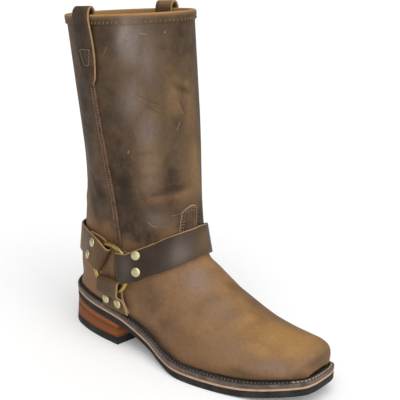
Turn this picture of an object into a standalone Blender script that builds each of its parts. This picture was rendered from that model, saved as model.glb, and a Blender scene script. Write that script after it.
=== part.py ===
"""Harness boot for the right foot: pull-on leather vamp and shaft on a stitched welt, a stacked leather
heel, and a strap harness that meets at a brass ring on each side of the ankle.

Worked in millimetres with +X to the toe, +Y to the inner side and +Z up, the origin on the floor under the
heel's middle, and turned to metres as each solid is made."""

import math

import bmesh
import bpy
import numpy as np
from mathutils import Vector
from mathutils.bvhtree import BVHTree

for old in list(bpy.data.objects):
    bpy.data.objects.remove(old, do_unlink=True)

MM = 0.001
GAP = 0.3  # clearance between neighbouring pieces

# Sole
OUTSOLE, MIDSOLE, WELT = 6.4, 2.4, 3.6  # thickness of each layer
LIP_RISE, LIP_WIDTH = 1.3, 1.8  # raised inner lip of the welt
WELT_WIDTH = 14.0
INSOLE = 4.2
CAP = 7.8  # rubber top piece under the heel
HEEL_FLARE = 1.045  # the heel grows to the rear as it goes down
HEEL_INSET = 0.7
LIFTS, GROOVE = 3, 0.5  # leather lifts of the heel and the depth of the line between them
BREAST_X, BREAST_SKEW = 45.6, 0.11  # heel front at y = 0, and how it leans in plan

# Upper
WALL = 2.2
COLUMNS, ROWS = 28, 37  # facets round a section and along the boot
COUNTER_THICK, STRIP_THICK, TAB_THICK = 1.1, 1.0, 1.1
STRIP_WIDTH = 6.0
TAB_FOOT, TAB_FOOT_ARC, TAB_TOP_ARC = 120.0, (-25.5, -2.0), (-20.5, -1.0)  # height, then its sides in degrees
TAB_EDGE = ((-1.0, 146.0), (-0.5, 149.6), (0.3, 152.6), (0.75, 152.0), (1.0, 149.0))  # height across its top
BIND_THICK, BIND_DROP = 1.3, 7.0
LOOP_WIDTH, LOOP_THICK, LOOP_ARCH = 23.0, 2.0, 7.5
LOOP_OUTSIDE, LOOP_INSIDE = 60.0, 38.0  # how far each leg of a pull loop runs down
LOOP_TAPER = ((0.0, 0.34), (3.5, 0.6), (13.0, 0.86), (24.0, 1.0))  # up from the outer end, share of the width
SEAM_TOP = {-1: (19.0, 324.0), 1: (25.0, 324.0)}  # side seams, x and z at the collar
SEAM_FOOT = (43.5, 104.0)  # and at the counter

# Harness
STRAP = 2.0  # leather
UNDER = COUNTER_THICK + 3 * GAP  # room under a strap for the panels it crosses
RING_X, RING_Z, RING_RADIUS, RING_ROD = 39.5, 83.0, 23.6, 2.25
ROD_ROOM = 0.45
FOLD = RING_ROD + ROD_ROOM + STRAP / 2  # half the height of a strap's turn round the rod
RING_LIFT = UNDER + STRAP + RING_ROD + ROD_ROOM + 1.6 * GAP
FRONT_WIDTH, REAR_WIDTH, LOWER_WIDTH, LOWER_FOOT_WIDTH = 28.6, 29.0, 29.4, 37.0
FRONT_APEX, REAR_APEX, LOWER_APEX = 8.6, 10.2, 10.2  # how near the ring's middle each fold comes
LOWER_SHIFT, LOWER_RAKE, LOWER_PINCH = -1.9, 0.31, 29.8  # behind the ring's middle, and where its leaves meet
RIVET_RADIUS, RIVET_RISE = 4.6, 1.7
RIVET_SPREAD, LOWER_SPREAD = 8.0, 9.1  # half the space between two rivets, on the long straps and the lower
RIVET_GAP, LOWER_GAP = 0.4, 0.6  # clear of the strap's highest part, on the same straps

# Edge of the sole in plan
EDGE_COLUMNS = ("x", "outer_y", "inner_y")
EDGE = (
    (-42.2, -17.0, 15.5),
    (-31.0, -31.0, 28.5),
    (-12.0, -39.0, 34.5),
    (10.0, -43.2, 34.2),
    (35.0, -44.6, 31.0),
    (60.0, -45.0, 28.5),
    (85.0, -46.6, 32.0),
    (105.0, -51.2, 40.0),
    (124.0, -54.8, 48.0),
    (145.0, -54.0, 52.5),
    (165.0, -50.6, 53.0),
    (185.0, -45.8, 49.6),
    (205.0, -39.4, 44.4),
    (225.0, -30.8, 37.0),
    (240.0, -23.6, 30.8),
    (248.6, -17.6, 25.2),
)
EDGE_REAR = ((-46.2, -0.6),)
EDGE_TOE = ((252.2, -8.0), (253.0, 4.0), (252.6, 16.0))

# Underside of the outsole: heel seat, arch, flat tread, toe spring
SEAT_COLUMNS = ("x", "z")
SEAT = (
    (-52.0, 31.4),
    (-5.0, 27.3),
    (42.0, 23.2),
    (62.0, 18.2),
    (85.0, 10.8),
    (105.0, 4.2),
    (120.0, 1.2),
    (136.0, 0.0),
    (168.0, 0.0),
    (190.0, 1.0),
    (210.0, 3.8),
    (232.0, 8.6),
    (256.0, 15.2),
)

# How far the outsole is trimmed inside the welt's edge
TRIM_COLUMNS = ("x", "inset")
TRIM = ((-46.0, 0.2), (40.0, 0.4), (65.0, 1.6), (100.0, 1.6), (130.0, 0.3), (253.0, 0.1))

# How far inside the sole's edge the upper meets the welt
FEATHER_COLUMNS = ("x", "inset")
FEATHER = ((-46.0, 5.2), (40.0, 5.4), (80.0, 6.6), (115.0, 8.6), (190.0, 8.8), (235.0, 7.4), (254.0, 6.6))

# Sections of the upper from toe to collar. Each stands on the welt at foot_x, or on the line of the back at
# (foot_x, foot_z), and rises to the front line at (top_x, top_y, top_z). wide is its greatest half width, at
# the fraction wide_at of its height, and blunt rounds it over the top, 2 being an ellipse.
SECTION_COLUMNS = ("foot_x", "foot_z", "top_x", "top_y", "top_z", "wide", "wide_at", "blunt")
FOOT_SECTIONS = (
    (245.4, None, 246.6, 3.4, 29.0, 15.0, 0.40, 3.4),
    (245.0, None, 247.8, 3.4, 36.6, 17.6, 0.40, 3.4),
    (243.6, None, 247.2, 3.4, 43.6, 20.0, 0.38, 3.3),
    (240.0, None, 242.8, 3.4, 48.6, 22.8, 0.36, 3.1),
    (233.0, None, 234.0, 3.4, 50.4, 27.2, 0.34, 2.9),
    (220.0, None, 219.0, 3.4, 50.8, 33.0, 0.33, 2.5),
    (200.0, None, 197.0, 3.2, 52.2, 38.6, 0.34, 2.3),
    (177.0, None, 173.0, 2.8, 57.0, 43.6, 0.34, 2.15),
    (152.0, None, 150.4, 2.4, 68.0, 46.0, 0.33, 2.05),
    (127.0, None, 132.4, 2.0, 81.6, 44.6, 0.32, 2.0),
    (103.0, None, 120.6, 1.6, 93.0, 41.2, 0.32, 2.0),
    (78.0, None, 111.4, 1.2, 100.5, 38.4, 0.34, 2.0),
    (54.0, None, 109.0, 0.8, 111.0, 37.6, 0.38, 2.0),
    (30.0, None, 108.6, 0.4, 121.5, 37.8, 0.40, 2.0),
    (6.0, None, 108.6, 0.2, 131.5, 38.4, 0.41, 2.0),
    (-16.0, None, 108.6, 0.0, 141.0, 38.8, 0.43, 2.0),
    (-31.0, None, 108.4, 0.0, 149.0, 38.8, 0.45, 2.0),
    (-38.4, None, 108.2, 0.0, 155.0, 38.8, 0.46, 2.0),
)
SHAFT_SECTIONS = (
    (-40.6, 44.0, 107.9, 0.0, 160.5, 38.8, 0.47, 2.0),
    (-41.8, 60.0, 107.4, 0.0, 169.0, 39.0, 0.48, 2.0),
    (-40.0, 80.0, 106.7, 0.0, 180.0, 39.4, 0.49, 2.0),
    (-36.0, 102.0, 105.7, 0.0, 192.0, 40.0, 0.50, 2.0),
    (-32.0, 124.0, 104.7, 0.0, 205.0, 41.2, 0.50, 2.0),
    (-28.0, 150.0, 103.0, 0.0, 220.5, 43.0, 0.50, 2.0),
    (-27.0, 178.0, 101.0, 0.0, 238.5, 45.0, 0.50, 2.0),
    (-29.0, 208.0, 98.4, 0.0, 259.0, 47.2, 0.50, 2.0),
    (-33.0, 246.0, 95.6, 0.0, 284.0, 49.4, 0.50, 2.0),
    (-37.4, 284.0, 93.2, 0.0, 307.0, 51.0, 0.50, 2.0),
    (-41.4, 317.0, 91.6, 0.0, 325.0, 52.2, 0.50, 2.0),
)

# Edges of the two long straps, by angle about an upright line through the ankle, 0 at the front
# and by how far the upper edge runs ahead of the lower one
STRAP_COLUMNS = ("angle", "low_z", "high_z", "sweep")
FRONT_LINE, REAR_LINE = (45.0, 0.0), (6.0, -2.0)
FRONT_STRAP = (
    (-42.0, 87.6, 116.8, 2.0),
    (-36.0, 90.2, 119.6, 1.0),
    (-24.0, 95.4, 125.0, 0.0),
    (-12.0, 100.0, 129.6, 0.0),
    (0.0, 102.2, 131.8, 0.0),
)
REAR_STRAP = (
    (-99.0, 83.6, 111.4, 10.0),
    (-110.0, 82.8, 111.2, 6.0),
    (-122.0, 82.2, 111.0, 3.0),
    (-138.0, 81.8, 110.8, 1.0),
    (-152.0, 80.6, 109.6, 0.0),
    (-166.0, 79.4, 108.4, 0.0),
    (-180.0, 79.0, 108.0, 0.0),
)


def slopes(x, y):
    """Slopes of a curve through the points that keeps flats flat and adds no overshoot."""
    h, d = np.diff(x), np.diff(y) / np.diff(x)
    m = np.zeros(len(x))
    for i in range(1, len(x) - 1):
        if d[i - 1] * d[i] > 0:
            a, b = 2 * h[i] + h[i - 1], h[i] + 2 * h[i - 1]
            m[i] = (a + b) / (a / d[i - 1] + b / d[i])
    m[0], m[-1] = d[0], d[-1]
    return m


def along(table, at):
    """Second column of a two-column table at any value of its first, as a smooth curve."""
    x, y = np.array(table, float).T
    m = slopes(x, y)
    at = np.clip(np.asarray(at, float), x[0], x[-1])
    i = np.clip(np.searchsorted(x, at) - 1, 0, len(x) - 2)
    h = x[i + 1] - x[i]
    t = (at - x[i]) / h
    return (
        (2 * t**3 - 3 * t**2 + 1) * y[i]
        + (t**3 - 2 * t**2 + t) * h * m[i]
        + (3 * t**2 - 2 * t**3) * y[i + 1]
        + (t**3 - t**2) * h * m[i + 1]
    )


def through(rows, at):
    """Rows of numbers joined by a smooth curve, read at fractional row numbers."""
    rows = np.asarray(rows, float)
    m = np.gradient(rows, axis=0)
    i = np.clip(np.floor(at).astype(int), 0, len(rows) - 2)
    t = (np.asarray(at, float) - i)[:, None]
    return (
        (2 * t**3 - 3 * t**2 + 1) * rows[i]
        + (t**3 - 2 * t**2 + t) * m[i]
        + (3 * t**2 - 2 * t**3) * rows[i + 1]
        + (t**3 - t**2) * m[i + 1]
    )


def closed_curve(points, steps):
    """Smooth closed curve through the points, with this many steps between neighbours."""
    p = np.asarray(points, float)
    before, after, beyond = np.roll(p, 1, 0), np.roll(p, -1, 0), np.roll(p, -2, 0)
    t = np.linspace(0, 1, steps, endpoint=False)[None, :, None]
    a, b, c, d = (v[:, None, :] for v in (before, p, after, beyond))
    curve = 0.5 * (2 * b + (c - a) * t + (2 * a - 5 * b + 4 * c - d) * t**2 + (3 * b - a - 3 * c + d) * t**3)
    return curve.reshape(-1, p.shape[1])


def sole_edge():
    outer = [(x, y) for x, y, _ in EDGE]
    inner = [(x, y) for x, _, y in reversed(EDGE)]
    return closed_curve(list(EDGE_REAR) + outer + list(EDGE_TOE) + inner, 16)


EDGE_LINE = sole_edge()


def seat_z(x):
    return along(SEAT, x)


def feather_z(x):
    return seat_z(x) + OUTSOLE + MIDSOLE + WELT + 4 * GAP


def inset_loop(inset):
    """The sole's edge moved inwards, by a number or by a value for each of its points."""
    step = np.roll(EDGE_LINE, -1, 0) - np.roll(EDGE_LINE, 1, 0)
    step /= np.linalg.norm(step, axis=1)[:, None]
    inwards = np.stack([-step[:, 1], step[:, 0]], 1)
    return EDGE_LINE + inwards * np.broadcast_to(inset, len(EDGE_LINE))[:, None]


def sides_of(loop):
    """Outer and inner side of a loop as y against x."""
    rear, front = loop[:, 0].argmin(), loop[:, 0].argmax()
    rolled = np.roll(loop, -rear, 0)
    front = (front - rear) % len(loop)
    outer, inner = rolled[: front + 1], np.vstack([rolled[front:], rolled[:1]])[::-1]
    return outer, inner


def width_at(loop, x):
    outer, inner = sides_of(loop)
    return np.interp(x, outer[:, 0], outer[:, 1]), np.interp(x, inner[:, 0], inner[:, 1])


FEATHER_LOOP = inset_loop(along(FEATHER, EDGE_LINE[:, 0]))


def sections():
    """Every section as foot x, y, z and half width, top x, y, z, then wide, wide_at and blunt."""
    rows = []
    for foot_x, foot_z, top_x, top_y, top_z, wide, wide_at, blunt in FOOT_SECTIONS + SHAFT_SECTIONS:
        rows.append((foot_x, foot_z or 0.0, top_x, top_y, top_z, wide, wide_at, blunt))
    return np.array(rows, float)


def upper_form(rows, columns):
    """Outer face of the upper as a grid of points with normals. The first column runs along the outer side's
    welt and up the back, the middle one along the front, the last along the inner side's welt."""
    at = np.linspace(0, len(FOOT_SECTIONS) + len(SHAFT_SECTIONS) - 1, rows)
    weld = len(FOOT_SECTIONS)
    at[np.abs(at - weld).argmin()] = weld
    table = through(sections(), at)
    grid = np.empty((rows, columns + 1, 3))
    half = columns // 2
    t = (1 - np.cos(np.linspace(0, math.pi, 161))) / 2
    for i, (foot_x, foot_z, top_x, top_y, top_z, wide, wide_at, blunt) in enumerate(table):
        if at[i] < weld:
            low, high = width_at(FEATHER_LOOP, foot_x)
            foot_y, foot_half, foot_z = (low + high) / 2, (high - low) / 2, feather_z(foot_x)
            wide = max(wide, foot_half * 1.012)
        else:
            foot_y, foot_half = -0.6 * max(0.0, 1 - (at[i] - weld) / 3), 0.0
        reach = wide_at / (1 - (foot_half / wide) ** 2) ** 0.5
        under = wide * np.sqrt(np.clip(1 - ((wide_at - t) / reach) ** 2, 0, 1))
        over = wide * np.clip(1 - (np.clip(t - wide_at, 0, 1) / (1 - wide_at)) ** blunt, 0, 1) ** (1 / blunt)
        width = np.where(t < wide_at, under, over)
        middle = foot_y + (top_y - foot_y) * t
        for side, cells in ((-1, slice(0, half + 1)), (1, slice(columns, half - 1, -1))):
            line = np.stack([
                foot_x + (top_x - foot_x) * t, middle + side * width, foot_z + (top_z - foot_z) * t], 1)
            run = np.r_[0, np.cumsum(np.linalg.norm(np.diff(line, axis=0), axis=1))]
            want = np.linspace(0, run[-1], half + 1)
            grid[i, cells] = np.stack([np.interp(want, run, line[:, k]) for k in range(3)], 1)
    normal = np.cross(np.gradient(grid, axis=0), np.gradient(grid, axis=1))
    welded = at >= weld
    seam = normal[welded, 0] + normal[welded, -1]
    normal[welded, 0], normal[welded, -1] = seam, seam
    normal[0] = normal[1] * 0.3 + np.array([1.0, 0, 0]) * np.linalg.norm(normal[1], axis=1)[:, None]
    normal /= np.linalg.norm(normal, axis=2)[..., None]
    if normal[-4, columns // 4, 1] > 0:
        normal = -normal
        normal[0, :, 0] = np.abs(normal[0, :, 0])
    return grid, normal, int(np.argmax(welded))


def material(name, colour, roughness, metallic=0.0):
    made = bpy.data.materials.new(name)
    made.use_nodes = True
    shader = made.node_tree.nodes["Principled BSDF"]
    shader.inputs["Base Color"].default_value = (*colour, 1)
    shader.inputs["Roughness"].default_value = roughness
    shader.inputs["Metallic"].default_value = metallic
    return made


def solid(name, points, faces, look, origin=(0.0, 0.0, 0.0)):
    """One closed object from points in millimetres, its faces turned outwards, placed at its origin."""
    mesh = bpy.data.meshes.new(name)
    points = MM * (np.asarray(points, float) - origin)
    mesh.from_pydata([tuple(p) for p in points], [], [tuple(int(i) for i in f) for f in faces])
    work = bmesh.new()
    work.from_mesh(mesh)
    bmesh.ops.remove_doubles(work, verts=work.verts, dist=2e-6)
    bmesh.ops.recalc_face_normals(work, faces=work.faces)
    work.to_mesh(mesh)
    work.free()
    made = bpy.data.objects.new(name, mesh)
    made.location = [MM * v for v in origin]
    bpy.context.scene.collection.objects.link(made)
    mesh.materials.append(material(name, *look))
    return made


BROWN, TAN, DARK = (0.10, 0.05, 0.03), (0.45, 0.27, 0.14), (0.07, 0.035, 0.022)
LEATHER, STRAP_LEATHER, RAW = (BROWN, 0.5), (DARK, 0.42), (TAN, 0.7)
RUBBER, STACK = ((0.02, 0.02, 0.018), 0.75), ((0.2, 0.075, 0.03), 0.45)
WELTING = ((0.06, 0.045, 0.038), 0.6)
BRASS = ((0.55, 0.42, 0.16), 0.3, 1.0)


def tube(loops, closed_ends=True):
    """Points and faces of a skin over loops of equal count, the two ends filled."""
    count = len(loops[0])
    points = np.vstack(loops)
    faces = []
    for i in range(len(loops) - 1):
        for j in range(count):
            k = (j + 1) % count
            faces.append((i * count + j, i * count + k, (i + 1) * count + k, (i + 1) * count + j))
    if closed_ends:
        faces.append(tuple(range(count))[::-1])
        faces.append(tuple((len(loops) - 1) * count + j for j in range(count)))
    return points, faces


def ring_skin(sections_round):
    """Points and faces of a closed section carried round a closed path."""
    rows, count = len(sections_round), len(sections_round[0])
    points = np.vstack(sections_round)
    faces = []
    for i in range(rows):
        n = (i + 1) % rows
        for j in range(count):
            k = (j + 1) % count
            faces.append((i * count + j, i * count + k, n * count + k, n * count + j))
    return points, faces


def layer(name, inset, low, high, look, stations=44):
    """Full-length slab between two heights that follow the sole, its outline moved inwards by inset."""
    loop = inset_loop(inset)
    rear, front = loop[:, 0].min() + 0.25, loop[:, 0].max() - 0.25
    mid = np.linspace(rear + 16, front - 9, stations - 12)
    turn = np.linspace(0, math.pi / 2, 7)[:-1]
    x = np.r_[rear + 16 * (1 - np.cos(turn)), mid, (front - 9 + 9 * np.sin(turn + math.pi / 12))]
    x = np.unique(np.r_[x, [v for v, _ in SEAT if rear + 17 < v < front - 10]])
    outer, inner = width_at(loop, x)
    loops = [
        np.array([(a, o, low(a)), (a, n, low(a)), (a, n, high(a)), (a, o, high(a))])
        for a, o, n in zip(x, outer, inner)
    ]
    return solid(name, *tube(loops), look)


def build_welt(count=54):
    """Strip of even thickness round the whole sole, with the lip against the upper's foot."""
    base = lambda x: seat_z(x) + OUTSOLE + MIDSOLE + 2 * GAP
    feather = along(FEATHER, EDGE_LINE[:, 0])
    lines = (
        (0.0 * feather, 0.0),
        (0.0 * feather, WELT),
        (feather - LIP_WIDTH - 2.0, WELT),
        (feather - LIP_WIDTH - 1.3, WELT + LIP_RISE),
        (feather - 1.8, WELT + LIP_RISE),
        (feather - 1.3, WELT),
        (0.0 * feather + WELT_WIDTH, WELT),
        (0.0 * feather + WELT_WIDTH, 0.0),
    )
    run = np.r_[0, np.cumsum(np.linalg.norm(np.diff(np.vstack([EDGE_LINE, EDGE_LINE[:1]]), axis=0), axis=1))]
    pick = np.linspace(0, run[-1], count, endpoint=False)
    rounds = []
    for inset, rise in lines:
        loop = inset_loop(inset)
        loop = np.vstack([loop, loop[:1]])
        x, y = np.interp(pick, run, loop[:, 0]), np.interp(pick, run, loop[:, 1])
        rounds.append(np.stack([x, y, base(x) + rise], 1))
    return solid("welt", *ring_skin(np.stack(rounds, 1)), WELTING)


def heel_outline(inset, flare, count=34):
    """Plan of the heel: the sole's edge behind the breast, closed by the breast."""
    loop = inset_loop(inset)
    outer, inner = sides_of(loop)
    line = np.vstack([outer[::-1], inner[1:]])
    breast = lambda p: p[:, 0] - BREAST_SKEW * p[:, 1] - BREAST_X
    keep = breast(line) < 0
    inside = line[keep]
    first, last = np.argmax(keep), len(keep) - np.argmax(keep[::-1])

    def cut(p, q):
        a, b = breast(np.array([p]))[0], breast(np.array([q]))[0]
        return p + (q - p) * a / (a - b)

    inside = np.vstack([cut(line[first - 1], line[first]), inside, cut(line[last - 1], line[last])])
    run = np.r_[0, np.cumsum(np.linalg.norm(np.diff(inside, axis=0), axis=1))]
    want = np.linspace(0, run[-1], count)
    plan = np.stack([np.interp(want, run, inside[:, k]) for k in range(2)], 1)
    plan[:, 0] = BREAST_X + (plan[:, 0] - BREAST_X) * flare
    return plan


def build_heel():
    flare = lambda k: 1 + (HEEL_FLARE - 1) * (1 - k)
    top = lambda plan: seat_z(plan[:, 0]) - GAP
    foot = CAP + GAP
    levels = [(0.0, HEEL_INSET)]
    for n in range(1, LIFTS):
        k = n / LIFTS
        levels += [(k - 0.035, HEEL_INSET), (k, HEEL_INSET + GROOVE), (k + 0.035, HEEL_INSET)]
    levels.append((1.0, HEEL_INSET))
    loops = []
    for k, inset in levels:
        plan = heel_outline(inset, flare(0.25 + 0.75 * k))
        loops.append(np.c_[plan, foot + (top(plan) - foot) * k])
    solid("heel_stack", *tube(loops), STACK)
    loops = [np.c_[heel_outline(HEEL_INSET, flare(k)), np.full(34, z)] for k, z in ((0.0, 0.0), (0.25, CAP))]
    solid("heel_cap", *tube(loops), RUBBER)


def build_sole():
    layer("outsole", along(TRIM, EDGE_LINE[:, 0]), seat_z, lambda x: seat_z(x) + OUTSOLE, RUBBER)
    layer("midsole", 0.2, lambda x: seat_z(x) + OUTSOLE + GAP,
          lambda x: seat_z(x) + OUTSOLE + 0.6 * GAP + MIDSOLE, RAW, 44)
    base = lambda x: seat_z(x) + OUTSOLE + MIDSOLE + 2 * GAP
    layer("insole", WELT_WIDTH + 4 * GAP, base, lambda x: base(x) + INSOLE, RAW, 32)
    build_welt()
    build_heel()


def build_upper():
    grid, normal, weld = upper_form(ROWS, COLUMNS)
    inner = grid - WALL * normal
    inner[: weld + 1, [0, -1], 2] = grid[: weld + 1, [0, -1], 2]
    inner[0, :, 2] = grid[0, :, 2]
    rows, count = grid.shape[:2]
    points = np.vstack([grid.reshape(-1, 3), inner.reshape(-1, 3)])
    index = np.arange(rows * count).reshape(rows, count)
    index[weld:, -1] = index[weld:, 0]
    lining = index + rows * count
    faces = []
    for i in range(rows - 1):
        for j in range(count - 1):
            a, b, c, d = index[i, j], index[i, j + 1], index[i + 1, j + 1], index[i + 1, j]
            faces.append((a, b, c, d))
            faces.append(tuple(v + rows * count for v in (d, c, b, a)))
    rim = list(index[:weld, 0][::-1]) + list(index[0, 1:-1]) + list(index[:weld, -1]) + [index[weld, 0]]
    for a, b in zip(rim, rim[1:] + rim[:1]):
        faces.append((a, b, b + rows * count, a + rows * count))
    for j in range(count - 1):
        a, b = index[-1, j], index[-1, j + 1]
        faces.append((a, b, b + rows * count, a + rows * count))
    faces = [tuple(dict.fromkeys(f)) for f in faces]
    return solid("upper", points, [f for f in faces if len(f) > 2], LEATHER)


class Skin:
    """The upper's outer face, fine enough to lay other pieces on."""

    def __init__(self):
        self.grid, normal, _ = upper_form(120, 72)
        rows, count = self.grid.shape[:2]
        index = np.arange(rows * count).reshape(rows, count)
        quads = np.stack([index[:-1, :-1], index[:-1, 1:], index[1:, 1:], index[1:, :-1]], -1).reshape(-1, 4)
        self.tree = BVHTree.FromPolygons(
            [Vector(p) for p in self.grid.reshape(-1, 3)], [tuple(map(int, q)) for q in quads])

    def hit(self, origin, way):
        """Where a line from inside leaves the upper, with the outward normal there."""
        origin, way = Vector(origin), Vector(way).normalized()
        place, normal, _, _ = self.tree.ray_cast(origin, way)
        if place is None:
            raise ValueError(f"no upper from {tuple(origin)} towards {tuple(way)}")
        if normal.dot(way) < 0:
            normal.negate()
        return np.array(place), np.array(normal)

    def round(self, line, angle, z):
        """Hit of a level line from an upright one, angle in degrees from the toe towards the inner side."""
        a = math.radians(angle)
        return self.hit((line[0], line[1], z), (math.cos(a), math.sin(a), 0))


def unit(v):
    return v / np.linalg.norm(v)


def panel(name, hits, low, high, look):
    """Closed sheet over a grid of (point, normal) hits, between two distances from the upper."""
    place = np.array([[h[0] for h in row] for row in hits])
    normal = np.array([[h[1] for h in row] for row in hits])
    for _ in range(2):
        soft = normal.copy()
        soft[1:-1] += 0.5 * (normal[:-2] + normal[2:])
        soft[:, 1:-1] += 0.5 * (normal[:, :-2] + normal[:, 2:])
        normal = soft / np.linalg.norm(soft, axis=2)[..., None]
    rows, count = place.shape[:2]
    points = np.vstack([(place + normal * low).reshape(-1, 3), (place + normal * high).reshape(-1, 3)])
    index = np.arange(rows * count).reshape(rows, count)
    faces = []
    for i in range(rows - 1):
        for j in range(count - 1):
            a, b, c, d = index[i, j], index[i, j + 1], index[i + 1, j + 1], index[i + 1, j]
            faces += [(d, c, b, a), tuple(v + rows * count for v in (a, b, c, d))]
    rim = list(index[0]) + list(index[1:, -1]) + list(index[-1, -2::-1]) + list(index[-2:0:-1, 0])
    for a, b in zip(rim, rim[1:] + rim[:1]):
        faces.append((a, b, b + rows * count, a + rows * count))
    return solid(name, points, faces, look)


def build_counter(skin):
    """Heel panel from the welt up to the straps, round the back from one side to the other."""
    line = (5.0, -3.0)
    rows = []
    for angle in np.linspace(-50, -310, 33):
        back = abs(angle + 180) / 130
        a = math.radians(angle)
        foot = feather_z(line[0] + (46 - 10 * back) * math.cos(a)) + LIP_RISE + 1.3
        rows.append([skin.round(line, angle, z) for z in np.linspace(foot, 104.0 - 3.0 * back, 7)])
    panel("counter", rows, 2 * GAP, 2 * GAP + COUNTER_THICK, LEATHER)


def build_strip(skin, name, side):
    """Narrow strip over a side seam, from under the pull loop to the counter."""
    (x0, z0), (x1, z1) = SEAM_TOP[side], SEAM_FOOT
    rows = []
    for z in np.linspace(z0 - LOOP_OUTSIDE + 3, z1 + 0.6, 16):
        x = x0 + (x1 - x0) * (z0 - z) / (z0 - z1)
        rows.append([skin.hit((x + d, 0, z), (0, side, 0)) for d in (-STRIP_WIDTH / 2, 0, STRIP_WIDTH / 2)])
    panel(name, rows, GAP, GAP + STRIP_THICK, LEATHER)


def build_tab(skin):
    """Tongue of the vamp on the shaft's front, its top edge rounded to a low peak."""
    rows = []
    for f in np.linspace(-1, 1, 9):
        top = float(along(TAB_EDGE, f))
        foot_turn, top_turn = ((a + b) / 2 + (b - a) / 2 * f for a, b in (TAB_FOOT_ARC, TAB_TOP_ARC))
        turns, heights = np.linspace(foot_turn, top_turn, 6), np.linspace(TAB_FOOT, top, 6)
        rows.append([skin.round((62.0, 0.0), a, z) for a, z in zip(turns, heights)])
    panel("vamp_tab", rows, GAP, GAP + TAB_THICK, LEATHER)


def build_binding():
    grid, normal, _ = upper_form(ROWS, COLUMNS)
    rim, out = grid[-1], normal[-1]
    down = grid[-2] - rim
    down /= np.linalg.norm(down, axis=1)[:, None]
    a, b = GAP, GAP + BIND_THICK
    far = -WALL
    profile = ((a, BIND_DROP), (b, BIND_DROP), (b + 0.1, -0.3), (b - 1.0, -b - 0.2),
               (far - b + 1.0, -b - 0.2), (far - b - 0.1, -0.3), (far - b, BIND_DROP),
               (far - a, BIND_DROP), (far - a, -a), (a, -a))
    rounds = [[rim[j] + out[j] * n + down[j] * h for n, h in profile] for j in range(len(rim) - 1)]
    solid("collar_binding", *ring_skin(np.array(rounds)), STRAP_LEATHER)


def ribbon(name, path, thickness, look):
    """Flat strip along a path of (middle, half width vector), of even thickness."""
    middle = np.array([p for p, _ in path])
    across = np.array([a for _, a in path])
    way = np.gradient(middle, axis=0)
    up = np.cross(across, way)
    up /= np.linalg.norm(up, axis=1)[:, None]
    h = up * thickness / 2
    loops = [np.array([m - a - u, m + a - u, m + a + u, m - a + u]) for m, a, u in zip(middle, across, h)]
    solid(name, *tube(loops), look)
    return list(zip(middle, across, h))


def build_loop(name, side):
    """Pull strap folded over the collar at a side seam: a long leg outside, an arch, a short leg inside."""
    grid, normal, _ = upper_form(ROWS * 3, COLUMNS * 8)
    half = COLUMNS * 4
    columns = np.arange(0, half + 1) if side < 0 else np.arange(half, COLUMNS * 8 + 1)
    rim = grid[-1]
    middle = columns[np.abs(rim[columns, 0] - SEAM_TOP[side][0]).argmin()]
    run = np.cumsum(np.linalg.norm(np.diff(rim, axis=0, prepend=rim[:1]), axis=1))
    lines = [np.abs(run - run[middle] - d * LOOP_WIDTH).argmin() for d in (-0.5, 0.0, 0.5)]
    clear = BIND_THICK + 2.6 * GAP + LOOP_THICK / 2
    flat = GAP + STRIP_THICK + GAP + LOOP_THICK / 2
    inside = -WALL - 2.5 * GAP - LOOP_THICK / 2
    profile = [(flat, LOOP_OUTSIDE - up) for up, _ in LOOP_TAPER]
    profile += [(flat, BIND_DROP + 9), (clear, BIND_DROP + 2), (clear, 0.0)]
    core = (clear - WALL - clear) / 2
    for a in np.linspace(0, math.pi, 9)[1:-1]:
        profile.append((core + (clear - core) * math.cos(a), -1.0 - LOOP_ARCH * math.sin(a)))
    profile += [(-WALL - clear, 0.0), (-WALL - clear, BIND_DROP + 2), (inside, BIND_DROP + 9),
                (inside, LOOP_INSIDE)]
    sides = []
    for j in lines:
        wall, out = grid[:, j], normal[:, j]
        depth = np.r_[0, np.cumsum(np.linalg.norm(np.diff(wall[::-1], axis=0), axis=1))]
        points = []
        for n, h in profile:
            k = [np.interp(max(h, 0), depth, wall[::-1, c]) for c in range(3)]
            o = unit(np.array([np.interp(max(h, 0), depth, out[::-1, c]) for c in range(3)]))
            points.append(np.array(k) + o * n + np.array([0, 0, 1.0]) * max(-h, 0))
        sides.append(np.array(points))
    sides = np.array(sides)
    for i, (_, share) in enumerate(LOOP_TAPER):
        sides[::2, i] = sides[1, i] + (sides[::2, i] - sides[1, i]) * share
    way = np.gradient(sides, axis=1)
    across = np.gradient(sides, axis=0)
    up = np.cross(across, way)
    up /= np.linalg.norm(up, axis=2)[..., None]
    h = up * LOOP_THICK / 2
    loops = []
    for i in range(sides.shape[1]):
        loops.append(np.vstack([sides[:, i] - h[:, i], (sides[:, i] + h[:, i])[::-1]]))
    solid(name, *tube(loops), STRAP_LEATHER)


class Station:
    """The ring's seat on one side: its middle on the upper, outward normal, forward and upward ways."""

    def __init__(self, skin, side):
        self.side = side
        self.place, normal = skin.hit((RING_X, 0, RING_Z), (0, side, 0))
        round_it = [(RING_X + a, 0, RING_Z + b) for a in (-12, 0, 12) for b in (-12, 0, 12)]
        near = [skin.hit(p, (0, side, 0))[1] for p in round_it]
        self.out = unit(np.mean(near, axis=0))
        self.fore = unit(np.array([1.0, 0, 0]) - self.out * self.out[0])
        self.rise = unit(np.cross(self.out, self.fore)) * -side
        if self.rise[2] < 0:
            self.rise = -self.rise
        self.middle = self.place + self.out * RING_LIFT

    def at(self, fore, rise, lift=0.0):
        return self.middle + self.fore * fore + self.rise * rise + self.out * lift


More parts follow.
